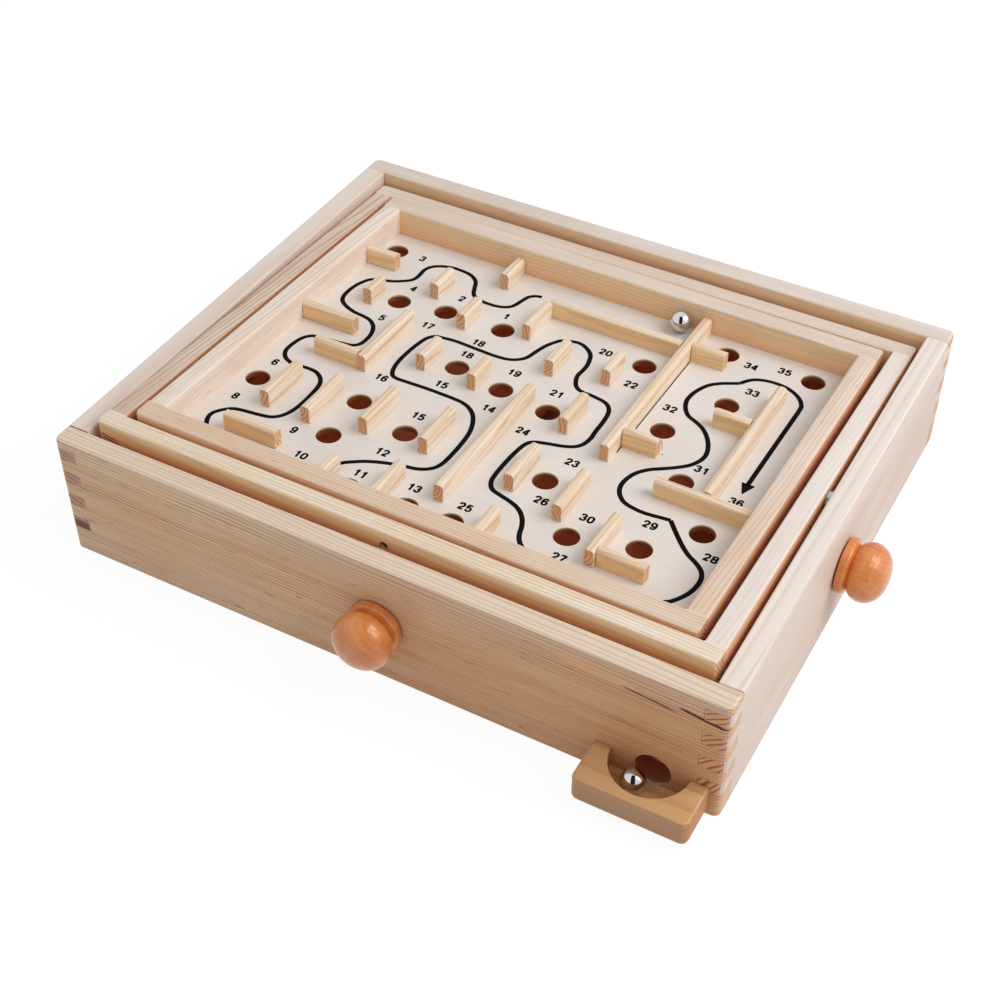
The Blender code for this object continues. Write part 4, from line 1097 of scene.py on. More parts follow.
@dataclass
class RailFrame:
    """Four rails glued to a rectangle, their joints closed and their long upper edges rounded."""

    name: str
    lay: Lay
    half_length: float
    half_width: float
    side_rail: float
    end_rail: float
    bottom: float
    rim: float
    woods: dict[str, Pine]
    painted_light: dict[str, PaintedLightAndShade]
    glow_inside: bool
    pin_from: float
    cord_at: float
    front_marks: Sequence[Mark] = ()
    rounding: float = 0.9
    square: float = 0.03
    corner: float = 1.6
    pin_hole: float = 2.1
    beyond: float = 2.0
    spring_bore: Point = (2.2, 11.0)
    cord_hole: Point = (0.9, 6.4)

    def rail(self, side: str) -> bpy.types.Object:
        """Build the front, back, left or right rail.

        Args:
            side: Which of the four it is.

        Returns:
            The rail.
        """
        across = side in ("front", "back")
        sign = -1 if side in ("front", "right") else 1
        width = self.end_rail if across else self.side_rail
        lay = self.lay if across else self.lay.turned()
        outer = self.half_width if across else self.half_length
        line = sign * (outer - width / 2)
        rounds = (self.rounding, self.rounding)
        middle = outline(width / 2, self.bottom, self.rim, rounds)
        shape = bmesh.new()
        if across:
            kept = (self.rounding, self.square) if sign < 0 else (self.square, self.rounding)
            corner = outline(width / 2, self.bottom, self.rim, kept)
            far, near = self.half_length, self.half_length - self.side_rail
            turns = [math.pi / 2 * step / 6 for step in range(7)]
            ends = [(far - self.corner * (1 - math.sin(turn)),
                     pulled(corner, sign, self.corner * (1 - math.cos(turn)))) for turn in turns]
            rings = [(-along, section) for along, section in reversed(ends)] + [
                (-near, corner), (-near + 0.05, middle), (near - 0.05, middle), (near, corner)] + ends
        else:
            reach = self.half_width - self.end_rail
            rings = [(-reach, middle), (reach, middle)]
        add_beam(shape, lay, line, rings)
        node = f"{self.name}_{side}_rail"
        # The faces that take the painted bounce light and shade: both sides on the middle frame, one
        # side on the tray.
        if self.glow_inside:
            ways = [lay.across, lay.across * -1]
        else:
            ways = [lay.across * (-sign if side == "back" else sign)]
        piths = {"front": Pith(0.018, 0.014, 0.0015, 0.02), "back": Pith(-0.030, 0.020, 0.0014),
                 "left": Pith(0.013, 0.030, 0.0013, 0.08),
                 "right": Pith(-0.016, 0.022, 0.0015, 0.03)}
        spot = lay.spread(vertex.co for vertex in shape.verts)
        material = self.woods[side].dress(node, lay, piths[side], spot, self.painted_light[side], ways,
                                          self.front_marks if side == "front" else ())
        return put_mesh("pine_" + node, shape, material)

    def build(self) -> None:
        """Build, drill and settle the rails."""
        framed = self.name == "middle_frame"
        for side in ("front", "back", "left", "right"):
            piece = self.rail(side)
            sign = -1 if side in ("front", "left") else 1
            across = side in ("front", "back")
            half = self.half_width if across else self.half_length
            rail = self.end_rail if across else self.side_rail
            if across or framed:
                start = half - rail + (self.pin_from if across else 0.4)
                spots = [(sign * start, 0), (sign * (half + self.beyond), 0)]
                if across:
                    spots = [(y, x) for x, y in spots]
                drill(piece, self.lay.place(*spots[0], 0), self.lay.place(*spots[1], 0),
                      self.pin_hole * MM)
            if across == framed:
                radius, depth = self.spring_bore if sign > 0 else self.cord_hole
                line = sign * (half - rail / 2)
                x, y = (self.cord_at, line) if across else (line, self.cord_at)
                drill(piece, self.lay.place(x, y, self.bottom - self.beyond),
                      self.lay.place(x, y, self.bottom + depth), radius * MM)
            soften(piece)
            settle(piece, self.name, "frame_pine", f"{self.name}_{side}_rail")


def build_rail_frames() -> list[RailFrame]:
    """The middle frame and the tray's frame.

    Returns:
        Both frames, ready to be built.
    """
    def wood(pale: Shade, tan: Shade, line: Shade, contrast: float = 1.0) -> Pine:
        """Make a wood of three shades."""
        return Pine(pale=Colour(*pale), tan=Colour(*tan), line=Colour(*line), contrast=contrast)

    cream = wood((253, 242, 224), (247, 228, 204), (220, 172, 124))
    pink = wood((250, 243, 238), (245, 234, 226), (224, 196, 174), 0.5)
    grey = wood((236, 218, 204), (224, 198, 178), (184, 138, 104), 1.2)
    white = wood((252, 241, 232), (247, 230, 216), (226, 188, 156), 0.9)
    light = wood((240, 226, 215), (233, 213, 197), (216, 182, 154), 0.8)
    warm = wood((240, 220, 200), (234, 204, 174), (212, 160, 116))
    blush = wood((243, 228, 216), (236, 210, 188), (222, 172, 132), 0.8)
    stains = (Mark((-137, 3.4), (-127, 1.6), 0.4, Colour(104, 56, 40), 0.75),
              Mark((-137, 1.8), (-125, -0.4), 0.45, Colour(96, 48, 34), 0.8),
              Mark((-137, 0.2), (-128, -1.4), 0.35, Colour(110, 60, 44), 0.7))
    # Painted bounce light and shade for each rail's faces that look into gaps.
    deep = {"front": FRONT_PAINTED_LIGHT, "back": BACK_PAINTED_LIGHT, "left": LOW_PAINTED_LIGHT, "right": SIDE_PAINTED_LIGHT}
    return [
        RailFrame("middle_frame", FRAME_LAY, 137.6, 111.6, 8.5, 8.5, -11.0, 7.0,
                  {"front": cream, "back": light, "left": grey, "right": pink},
                  deep, True, -1.0, 112.0, stains),
        RailFrame("tray", TRAY_LAY, 125.7, 101.5, 8.7, 9.5, -9.8, 8.2,
                  {"front": warm, "back": light, "left": white, "right": blush},
                  {**deep, "front": TRAY_FRONT_PAINTED_LIGHT}, False, 1.9, 5.0)]


class Run(Enum):
    """Which way a strip runs over the board."""

    DOWN = "from front to back"
    ACROSS = "from left to right"


@dataclass
class Maze:
    """The board with its strips. Strips that the CAD joins to one solid are separate here."""

    wood: Pine = Pine(
        pale=Colour(251, 236, 216), tan=Colour(245, 222, 192), line=Colour(224, 172, 120),
        end=Colour(232, 184, 142), end_line=Colour(196, 124, 78))
    # Painted bounce light on the strips' faces that look forwards.
    painted_light: PaintedLightAndShade = PaintedLightAndShade(Colour(250, 216, 166), Colour(248, 208, 152), Colour(240, 196, 140))
    reach: Point = (116.7, 91.7)
    width: float = 4.6
    low: float = -5.25
    high: float = 3.0
    rounding: float = 1.6
    soft_end: float = 0.25
    joined: Sequence[tuple[str, Run, float, float, float]] = (
        ("maze_corner_left", Run.DOWN, -0.6195, -0.155, 0.301),
        ("maze_corner_left", Run.ACROSS, -0.1265, -0.831, -0.6410),
        ("maze_corner_front_right", Run.DOWN, 0.6007, -0.835, -0.556),
        ("maze_corner_front_right", Run.ACROSS, -0.797, 0.6225, 0.7986),
        ("maze_branch_right", Run.DOWN, 0.8166, -0.237, 0.654),
        ("maze_branch_right", Run.ACROSS, -0.264, 0.633, 1.0),
        ("maze_branch_right", Run.ACROSS, 0.3337, 0.654, 0.7950),
        ("maze_branch_start", Run.DOWN, 0.3993, -0.171, 1.0),
        ("maze_branch_start", Run.ACROSS, -0.0142, 0.4210, 0.557),
        ("maze_branch_start", Run.ACROSS, 0.7634, 0.4210, 0.557),
        ("maze_branch_start", Run.ACROSS, 0.7426, -0.1851, 0.3776),
        ("maze_branch_start", Run.DOWN, -0.1851, 0.482, 0.7176))

    def dress_strip(self, name: str, lay: Lay, number: int,
                    spot: tuple[Vector, Vector]) -> bpy.types.Material:
        """The wood of one strip, with painted warm bounce light on the faces that look forwards.

        Args:
            name: The material's name.
            lay: The strip's lay.
            number: The strip's number, which picks its rings.
            spot: Its middle and half size.

        Returns:
            The material.
        """
        pith = Pith(0.004 + 0.003 * (number % 5), 0.006 - 0.004 * (number % 4),
                    0.0014 + 0.0002 * (number % 3), 0.02 * (number % 3 - 1))
        return self.wood.dress(name, lay, pith, spot, self.painted_light, (TRAY_LAY.across * -1,))

    def build_joined(self) -> None:
        """Build the strips of the branched CAD pieces one by one."""
        for number, (node, run, line, start, end) in enumerate(self.joined):
            down = run is Run.DOWN
            lay = TRAY_LAY.turned() if down else TRAY_LAY
            along, across = self.reach[::-1] if down else self.reach
            rounds = (self.rounding, self.rounding)
            section = outline(self.width / 2, self.low, self.high, rounds, 6)
            first, last = start * along, end * along
            shape = bmesh.new()
            add_beam(shape, lay, (-line if down else line) * across, [
                (first, shrunk(section, self.soft_end)), (first + self.soft_end, section),
                (last - self.soft_end, section), (last, shrunk(section, self.soft_end))])
            material = self.dress_strip(
                f"{node}_{number}", lay, number + 3,
                lay.spread(vertex.co for vertex in shape.verts))
            piece = put_mesh(f"{node}_strip_{number + 1}", shape, material)
            soften(piece)
            settle(piece, "tray", "strip_pine", node)

    def build(self) -> None:
        """Dress the board and every strip with the grain along its longer side."""
        paint("maze_board", PaintedBoard().dress("painted_board", TRAY_LAY, -5.3 * MM))
        kinds = ("maze_strip", "maze_corner", "maze_branch")
        strips = [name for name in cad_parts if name.startswith(kinds)]
        joined = {entry[0] for entry in self.joined}
        for number, node in enumerate(sorted(strips)):
            if node in joined:
                continue
            middle, half = spot_of(node, TRAY_LAY)
            lay = TRAY_LAY if half.x >= half.y else TRAY_LAY.turned()
            paint(node, self.dress_strip(node, lay, number, spot_of(node, lay)))
        self.build_joined()


@dataclass
class Cord:
    """A twisted cord that runs from one rail round a shaft to the other rail, with its spring."""

    name: str
    body: str
    lay: Lay
    along_x: bool
    line: float
    bottom: float
    place: float
    centre: Sequence[float]
    over: int
    chain: Sequence[str]
    split: Sequence[float]
    wound_radius: float = 3.2
    guide_radius: float = 1.5
    guide_height: float = 25.5
    turns: int = 3
    pitch: float = 1.4
    twist: float = 2.6
    step: float = 0.4
    strand_radius: float = 0.265
    strand_offset: float = 0.24
    in_hole: float = 5.6
    in_bore: float = 0.9
    spring_radius: float = 1.45
    spring_wire: float = 0.26
    spring_pitch: float = 1.3
    spring_turns: int = 6

    def corner(self, side: int) -> tuple[Vector, Vector]:
        """The middle of the bend at a guide eye and the direction outwards, in box millimetres.

        Args:
            side: Minus one for the near eye and one for the far one.

        Returns:
            The middle and the direction.
        """
        out = Vector((side, 0, 0)) if self.along_x else Vector((0, side, 0))
        aside = Vector((0, self.place, 0)) if self.along_x else Vector((self.place, 0, 0))
        return (out * (self.line - self.guide_radius) + aside
                + Vector((0, 0, self.guide_height)), out)

    def bend(self, side: int) -> list[Vector]:
        """The bend round a guide eye, from below outwards and up.

        Args:
            side: Minus one for the near eye and one for the far one.

        Returns:
            Points along the bend.
        """
        corner, out = self.corner(side)
        angles = [math.pi / 2 * step / 8 for step in range(9)]
        return [corner + out * (self.guide_radius * math.sin(angle))
                - Vector((0, 0, self.guide_radius * math.cos(angle))) for angle in angles]

    def wound(self, near: Vector, far: Vector) -> list[Vector]:
        """The turns about the shaft between two points of the run, in box millimetres.

        Args:
            near: Where the cord comes to the shaft.
            far: Where it leaves.

        Returns:
            Points along the turns.
        """
        centre = Vector(self.centre)
        along = Vector((1, 0, 0)) if self.along_x else Vector((0, 1, 0))
        axial = Vector((0, 1, 0)) if self.along_x else Vector((1, 0, 0))
        angles = []
        for end, ahead in ((near, -1), (far, 1)):
            flat, height = (end - centre).dot(along), (end - centre).z * self.over
            opening = math.acos(self.wound_radius / math.hypot(flat, height))
            angles.append(math.atan2(flat, height) - ahead * opening)
        start, end = angles[0], angles[1] + 2 * math.pi * self.turns
        steps = self.turns * 40
        points = []
        for step in range(steps + 1):
            share = step / steps
            angle = start + (end - start) * share
            points.append(
                centre + along * (self.wound_radius * math.sin(angle))
                + axial * (self.pitch * self.turns * (share - 0.5))
                + Vector((0, 0, self.over * self.wound_radius * math.cos(angle))))
        return points

    def mouth(self, side: int, depth: float) -> Vector:
        """A point on the cord's way into a rail, in the model's coordinates."""
        x, y = (side * self.line, self.place) if self.along_x else (self.place, side * self.line)
        return self.lay.place(x, y, self.bottom + depth)

    def lay_strands(self, label: str, strands: Sequence[Sequence[Vector]], ends: tuple[int, int],
                    cotton: bpy.types.Material) -> bpy.types.Object:
        """One stretch of the cord, from all its strands between two points of their paths.

        Args:
            label: The stretch's name.
            strands: The paths of the strands.
            ends: The first and last point of the stretch.
            cotton: The cord's material.

        Returns:
            The stretch.
        """
        shape = bmesh.new()
        for strand in strands:
            tube(shape, strand[ends[0]:ends[1] + 1], self.strand_radius * MM, 6)
        return put_mesh(f"{self.name}_{label}", shape, cotton)

    def build_cord(self, cotton: bpy.types.Material) -> None:
        """Lay the strands along the route: the run rides on the box and the legs are cut at the given
        heights.

        Args:
            cotton: The cord's material.
        """
        near, far = self.bend(-1)[::-1], self.bend(1)
        run = near + self.wound(near[-1], far[0]) + far
        run = [BOX_MIDDLE + point * MM for point in run]
        path = resample([self.mouth(-1, self.in_hole), self.mouth(-1, 0.0), *run,
                         self.mouth(1, 0.0), self.mouth(1, self.in_bore)], self.step * MM)
        strands = twisted(path, self.strand_offset * MM, self.twist * MM)
        level = BOX_MIDDLE.z + (self.guide_height + 0.2) * MM
        inside = [index for index, point in enumerate(path) if point.z < level]
        settle(self.lay_strands("run", strands, (inside[0], inside[-1]), cotton),
               "box", "cotton_cord", self.name)
        for sign, side in ((-1, "near"), (1, "far")):
            heights = [level, *self.split, self.mouth(sign, 0.0).z]
            indices = range(inside[0] + 1) if sign < 0 else range(inside[-1], len(path))
            for number, (low, high) in enumerate(zip(heights, heights[1:])):
                top = high if number < len(self.split) else 1.0
                part = [index for index in indices
                        if low - self.step * MM <= path[index].z <= top + self.step * MM]
                piece = self.lay_strands(f"{side}_leg_{number + 1}", strands,
                                         (min(part), max(part)), cotton)
                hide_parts(self.name)
                self.chain[number + 1]
                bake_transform(piece)
                log.info("%s bends between %s and %s", piece.name, self.chain[number],
                         self.chain[number + 1])

    def build_spring(self, steel: bpy.types.Material) -> None:
        """A coil with closed ends, in the bore of the far rail.

        Args:
            steel: The spring's material.
        """
        x, y = (self.line, self.place) if self.along_x else (self.place, self.line)
        low, steps = self.bottom + 1.15, 28
        points = []
        for step in range(self.spring_turns * steps + 1):
            turn = step / steps
            angle = 2 * math.pi * turn
            points.append(self.lay.place(
                x + self.spring_radius * math.cos(angle), y + self.spring_radius * math.sin(angle),
                low + self.spring_pitch * turn))
        shape = bmesh.new()
        tube(shape, points, self.spring_wire * MM, 8)
        settle(put_mesh(self.name + "_coil", shape, steel), self.body, "wire_steel",
               self.name + "_spring")

    def build(self) -> None:
        """Build the cord and its spring."""
        self.build_cord(Cotton().dress(self.name + "_cotton"))
        self.build_spring(Metal.WIRE.dress(self.name + "_spring_wire"))


def build_cords() -> list[Cord]:
    """The cord under the tray and the one under the middle frame.

    Returns:
        Both cords.
    """
    return [
        Cord("tray_cord", "tray", TRAY_LAY, True, 121.35, -9.8, 5.0, (4.0, 5.0, 29.8), -1,
             ("box", "middle_frame", "tray"), (0.0285,)),
        Cord("frame_cord", "middle_frame", FRAME_LAY, False, 107.35, -11.0, 112.0,
             (112.0, -6.5, 29.8), 1, ("box", "middle_frame"), ())]


# Each digit's strokes, in shares of its width and height; True marks a bent stroke
DIGITS: dict[str, Sequence[tuple[bool, Sequence[Point]]]] = {
    "0": (
        (True, ((0.5, 0.92), (0.16, 0.78), (0.1, 0.5), (0.16, 0.22), (0.5, 0.08), (0.84, 0.22),
                (0.9, 0.5), (0.84, 0.78), (0.5, 0.92))),
    ),
    "1": (
        (False, ((0.62, 0.0), (0.62, 1.0))),
        (True, ((0.58, 0.9), (0.42, 0.76), (0.16, 0.72))),
    ),
    "2": (
        (True, ((0.12, 0.66), (0.2, 0.85), (0.5, 0.92), (0.82, 0.82), (0.86, 0.64),
                (0.72, 0.46), (0.4, 0.28), (0.16, 0.1))),
        (False, ((0.06, 0.08), (0.94, 0.08))),
    ),
    "3": (
        (True, ((0.12, 0.72), (0.22, 0.87), (0.5, 0.92), (0.8, 0.84), (0.82, 0.66),
                (0.66, 0.55), (0.42, 0.53))),
        (True, ((0.42, 0.53), (0.72, 0.5), (0.88, 0.34), (0.78, 0.14), (0.48, 0.08),
                (0.2, 0.13), (0.1, 0.3))),
    ),
    "4": (
        (False, ((0.7, 0.0), (0.7, 1.0))),
        (False, ((0.66, 0.94), (0.06, 0.3))),
        (False, ((0.0, 0.27), (0.98, 0.27))),
    ),
    "5": (
        (False, ((0.9, 0.92), (0.2, 0.92))),
        (False, ((0.24, 0.96), (0.15, 0.45))),
        (True, ((0.14, 0.46), (0.36, 0.6), (0.66, 0.6), (0.88, 0.42), (0.84, 0.2), (0.6, 0.08),
                (0.3, 0.1), (0.1, 0.26))),
    ),
    "6": (
        (True, ((0.88, 0.72), (0.76, 0.88), (0.48, 0.92), (0.2, 0.78), (0.11, 0.5),
                (0.14, 0.24), (0.34, 0.08), (0.64, 0.08), (0.86, 0.2), (0.86, 0.42),
                (0.66, 0.56), (0.4, 0.56), (0.16, 0.4))),
    ),
    "7": (
        (False, ((0.04, 0.92), (0.96, 0.92))),
        (True, ((0.9, 0.9), (0.62, 0.58), (0.42, 0.26), (0.36, 0.0))),
    ),
    "8": (
        (True, ((0.5, 0.92), (0.2, 0.85), (0.15, 0.68), (0.3, 0.56), (0.66, 0.5), (0.88, 0.36),
                (0.84, 0.16), (0.5, 0.08), (0.16, 0.16), (0.12, 0.36), (0.34, 0.5),
                (0.7, 0.56), (0.85, 0.68), (0.8, 0.85), (0.5, 0.92))),
    ),
    "9": (
        (True, ((0.12, 0.28), (0.24, 0.12), (0.52, 0.08), (0.8, 0.22), (0.89, 0.5),
                (0.86, 0.76), (0.66, 0.92), (0.36, 0.92), (0.14, 0.8), (0.14, 0.58),
                (0.34, 0.44), (0.6, 0.44), (0.84, 0.6))),
    ),
}


@dataclass
class Print:
    """What is printed on the board: the route line, its arrow and plain numbers."""

    board_top: float = -5.3
    ink_height: float = 0.05
    line_width: float = 2.1
    digit_height: float = 4.3
    stroke: float = 1.0
    pencil_marks: Sequence[tuple[Point, Point, float]] = (
        ((62, 9.5), (65, 3), 0.25), ((66, 0.4), (66.5, 0.9), 0.5))

    route_start: Sequence[Point] = (
        (-31.3, 78.5), (-34, 77.8), (-36.5, 75.5), (-37.8, 71), (-38.7, 67), (-40, 64),
        (-43, 61.8), (-47, 60.8), (-52.5, 60.8), (-57.3, 62), (-60, 64.5), (-62, 69), (-64, 73.5),
        (-67, 76.5), (-71, 78.2), (-77, 78.8), (-80.5, 78.5), (-85, 76.8), (-88.5, 74), (-90, 70),
        (-89.8, 66), (-89.8, 62), (-91, 59), (-94, 56.3), (-98.5, 53.5), (-106.5, 50.5),
        (-109.5, 46), (-111, 40), (-111, 33), (-109.5, 28.5), (-106, 25.5), (-100, 23), (-93, 22),
        (-89, 20.5), (-85.5, 17), (-83.5, 12), (-83, 7), (-83.5, 3), (-85.5, 0.5), (-89, -0.5),
        (-102.8, -2.3), (-106, -3.5), (-108.3, -7), (-109.3, -13), (-109, -18.5), (-106.5, -22.5),
        (-103, -24.5), (-100.7, -25), (-92.5, -24.5), (-88, -25.3), (-84, -28.5), (-82, -33),
        (-81.3, -40), (-81.2, -48), (-82, -54), (-83.8, -58.5), (-87, -61.5), (-92, -62.8),
        (-99, -63.8), (-104, -65), (-107.5, -68), (-109.8, -72), (-109.5, -75.5), (-108, -78.5),
        (-104, -84), (-90, -86), (-60, -86), (-50, -80), (-45, -72.5), (-41, -69), (-36, -65.8),
        (-29.5, -63), (-22.5, -61), (-16, -59.5), (-11.5, -56.5), (-9.3, -52), (-8.8, -45),
        (-9, -35), (-10, -27), (-12.5, -20), (-16, -15), (-21, -11.8), (-27, -10.8), (-40, -10.5),
        (-50, -10.8), (-56, -10.9), (-59, -9.5), (-61, -5), (-62, 2), (-61.8, 12), (-60.8, 20),
        (-59.5, 23.5), (-57.5, 25.5), (-55, 26), (-48, 26.8), (-38, 26.4), (-28, 26), (-21, 26.8),
        (-16.5, 29.5), (-14.3, 33), (-13, 39), (-11.3, 45), (-9, 49.5), (-6.7, 52.3), (0, 54.3),
        (5, 52.5), (9, 48.5), (11, 42), (11.3, 37), (11, 32), (12.3, 27.5), (15, 23.5), (19, 22),
        (22, 22), (29, 20.8), (32.5, 18.5), (34.5, 14.5), (35.3, 8), (35.5, 0), (35.8, -5),
        (35, -10), (32.5, -13.5), (28, -15.8), (21, -17.8), (16, -19.8), (14, -23), (13, -30),
        (12.7, -40), (13, -48), (14, -52), (16.5, -55.3), (21, -56.8), (27, -58.5), (31.5, -60.8),
        (35, -64.5), (37.3, -69), (38.5, -73), (40.5, -77), (43.5, -80), (50, -85), (60, -87.5),
        (90, -87.5), (103, -80), (106.5, -77), (109.5, -71.5), (110.8, -66), (110.7, -61),
        (109, -57), (105.5, -53.8), (101, -51), (96.5, -47), (91, -41),
        (86.5, -35.7))
    route_middle: Sequence[Point] = (
        (86.5, -35.7), (84, -36), (76, -37), (70, -36.5), (65.5, -35), (62, -31.5), (60.2, -27),
        (60.2, -22), (61.8, -16.5), (65.5, -11.5), (70, -8), (74.5, -4.5), (79, 0), (81.5, 5),
        (82, 10), (80.5, 15.5), (77.5, 21), (73.5, 25.5), (69, 28.3), (65, 30.3), (62, 34),
        (60, 39), (59.8, 44), (61, 49.5),
        (63.5, 55), (67.5, 59), (71.5, 61.5), (74.8, 63.5))
    route_end: Sequence[Point] = (
        (74.8, 63.5), (77, 67), (80, 69.8), (85, 71.5), (91, 71.7), (96, 70.3), (101, 67),
        (104, 62.5),
        (104.6, 58), (104.6, 40), (104.6, 20), (104.6, 0))
    arrow: Sequence[Point] = ((101.7, 1.0), (107.7, 1.0), (104.7, -6.5))
    # Thin dark lines drawn on the board beside the long strip.
    strip_side_lines: Sequence[tuple[Point, Point]] = (
        ((49.3, 67), (49.3, 10.5)), ((49.3, -3), (49.3, -8)))
    numbers: Sequence[tuple[str, float, float]] = (
        ("3", -95.7, 78), ("2", -62.5, 58), ("4", -86, 53.5), ("1", -37.8, 56), ("5", -86, 25.5),
        ("17", -65, 31), ("18", -38.5, 31), ("18", -38.5, 20.5), ("19", -13.8, 19.2),
        ("15", -37, -4.5), ("14", -11, -9), ("16", -62, -13.7), ("6", -108, -28),
        ("8", -108.5, -57), ("15", -34, -29), ("9", -73.7, -64), ("12", -34.3, -57.5),
        ("10", -62, -76.3), ("11", -34.5, -74), ("13", -11, -70.5), ("24", 9, -15.3),
        ("25", 12.5, -70.3), ("23", 36.5, -23.5), ("26", 36.7, -51.3), ("30", 57.5, -51.7),
        ("27", 58.3, -77.7), ("29", 80.7, -42.5), ("28", 109.3, -48.3), ("36", 104.7, -12),
        ("31", 84.5, -0.3), ("32", 56, 31), ("33", 82.3, 60), ("34", 74.3, 78), ("35", 88.8, 82),
        ("20", 14, 54), ("22", 34, 38), ("21", 9.3, 15.3))

    def ribbon(self, shape: bmesh.types.BMesh, line: Sequence[Vector], width: float) -> None:
        """Add a flat closed ribbon along a line on the board.

        Args:
            shape: The mesh that takes it.
            line: Points in tray millimetres.
            width: Its width in millimetres.
        """
        low, high = self.board_top - self.ink_height, self.board_top + self.ink_height
        before: list[bmesh.types.BMVert] = []
        for index, point in enumerate(line):
            ahead = line[min(index + 1, len(line) - 1)] - line[max(index - 1, 0)]
            side = Vector((-ahead.y, ahead.x, 0.0)).normalized() * (width / 2)
            corners = [(point + side, high), (point - side, high),
                       (point - side, low), (point + side, low)]
            now = [shape.verts.new(TRAY_LAY.place(spot.x, spot.y, z)) for spot, z in corners]
            if before:
                for turn in range(4):
                    shape.faces.new((before[turn], before[turn - 1], now[turn - 1], now[turn]))
            else:
                shape.faces.new(now)
            before = now
        shape.faces.new(before[::-1])

    def build_route(self, ink: bpy.types.Material) -> None:
        """The black line with its arrow, and the thin line beside the long strip.

        Args:
            ink: The ink.
        """
        shape = bmesh.new()
        for part in (self.route_start, self.route_middle, self.route_end):
            self.ribbon(shape, smooth_path(part, 1.0), self.line_width)
        low, high = self.board_top - self.ink_height, self.board_top + self.ink_height
        levels = [[shape.verts.new(TRAY_LAY.place(x, y, z)) for x, y in self.arrow]
                  for z in (low, high)]
        shape.faces.new(levels[1])
        shape.faces.new(levels[0][::-1])
        for turn in range(3):
            shape.faces.new((levels[0][turn - 1], levels[0][turn],
                             levels[1][turn], levels[1][turn - 1]))
        for start, end in self.strip_side_lines:
            self.ribbon(shape, smooth_path((start, end), 20.0), 0.5)
        settle(put_mesh("printed_route", shape, ink, smooth=False), "tray", "painted_board")

    def build_numbers(self, ink: bpy.types.Material) -> None:
        """Plain bold numbers beside the holes, drawn with strokes.

        Args:
            ink: The ink.
        """
        shape = bmesh.new()
        tall, wide, gap = self.digit_height, self.digit_height * 0.58, self.digit_height * 0.17
        for text, x, y in self.numbers:
            left = x - (len(text) * wide + (len(text) - 1) * gap) / 2
            for place, digit in enumerate(text):
                corner = left + place * (wide + gap)
                for bent, points in DIGITS[digit]:
                    spots = [(corner + a * wide, y - tall / 2 + b * tall) for a, b in points]
                    line = (smooth_path(spots, 0.22) if bent
                        else [Vector((*spot, 0.0)) for spot in spots])
                    self.ribbon(shape, line, self.stroke)
        settle(put_mesh("printed_numbers", shape, ink, smooth=False), "tray", "painted_board")

    def build_pencil(self) -> None:
        """Faint pencil marks and a stray dot near the long strip."""
        shape = bmesh.new()
        for start, end, width in self.pencil_marks:
            self.ribbon(shape, smooth_path((start, end), 20.0), width)
        pencil = Ink(Colour(120, 104, 92), Colour(160, 146, 134)).dress("pencil")
        settle(put_mesh("pencil_marks", shape, pencil, smooth=False), "tray", "painted_board")

    def build(self) -> None:
        """Print the board."""
        ink = Ink().dress("black_ink")
        self.build_route(ink)
        self.build_numbers(ink)
        self.build_pencil()


@dataclass
class Knobs:
    """Two turned knobs and their shafts."""

    def build(self) -> None:
        """Dress knobs and shafts."""
        for side, axis in (("front", Vector((0, -1, 0))), ("right", Vector((1, 0, 0)))):
            low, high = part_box(side + "_knob")
            paint(side + "_knob", Lacquer().dress(side + "_knob", (low + high) / 2, axis))
            paint(side + "_shaft", Metal.SHAFT.dress(side + "_shaft_steel"))


@dataclass
class Balls:
    """The two steel balls, rounder than their CAD solids."""

    radius: float = 0.005

    def build(self) -> None:
        """Build the ball at the start and the one that has come out."""
        steel = Metal.BALL.dress("polished_ball")
        for name in ("start_ball", "caught_ball"):
            low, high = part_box(name)
            shape = bmesh.new()
            bmesh.ops.create_icosphere(shape, subdivisions=5, radius=self.radius,
                                       matrix=Matrix.Translation((low + high) / 2))
            settle(put_mesh("polished_" + name, shape, steel), name, "polished_steel", name)


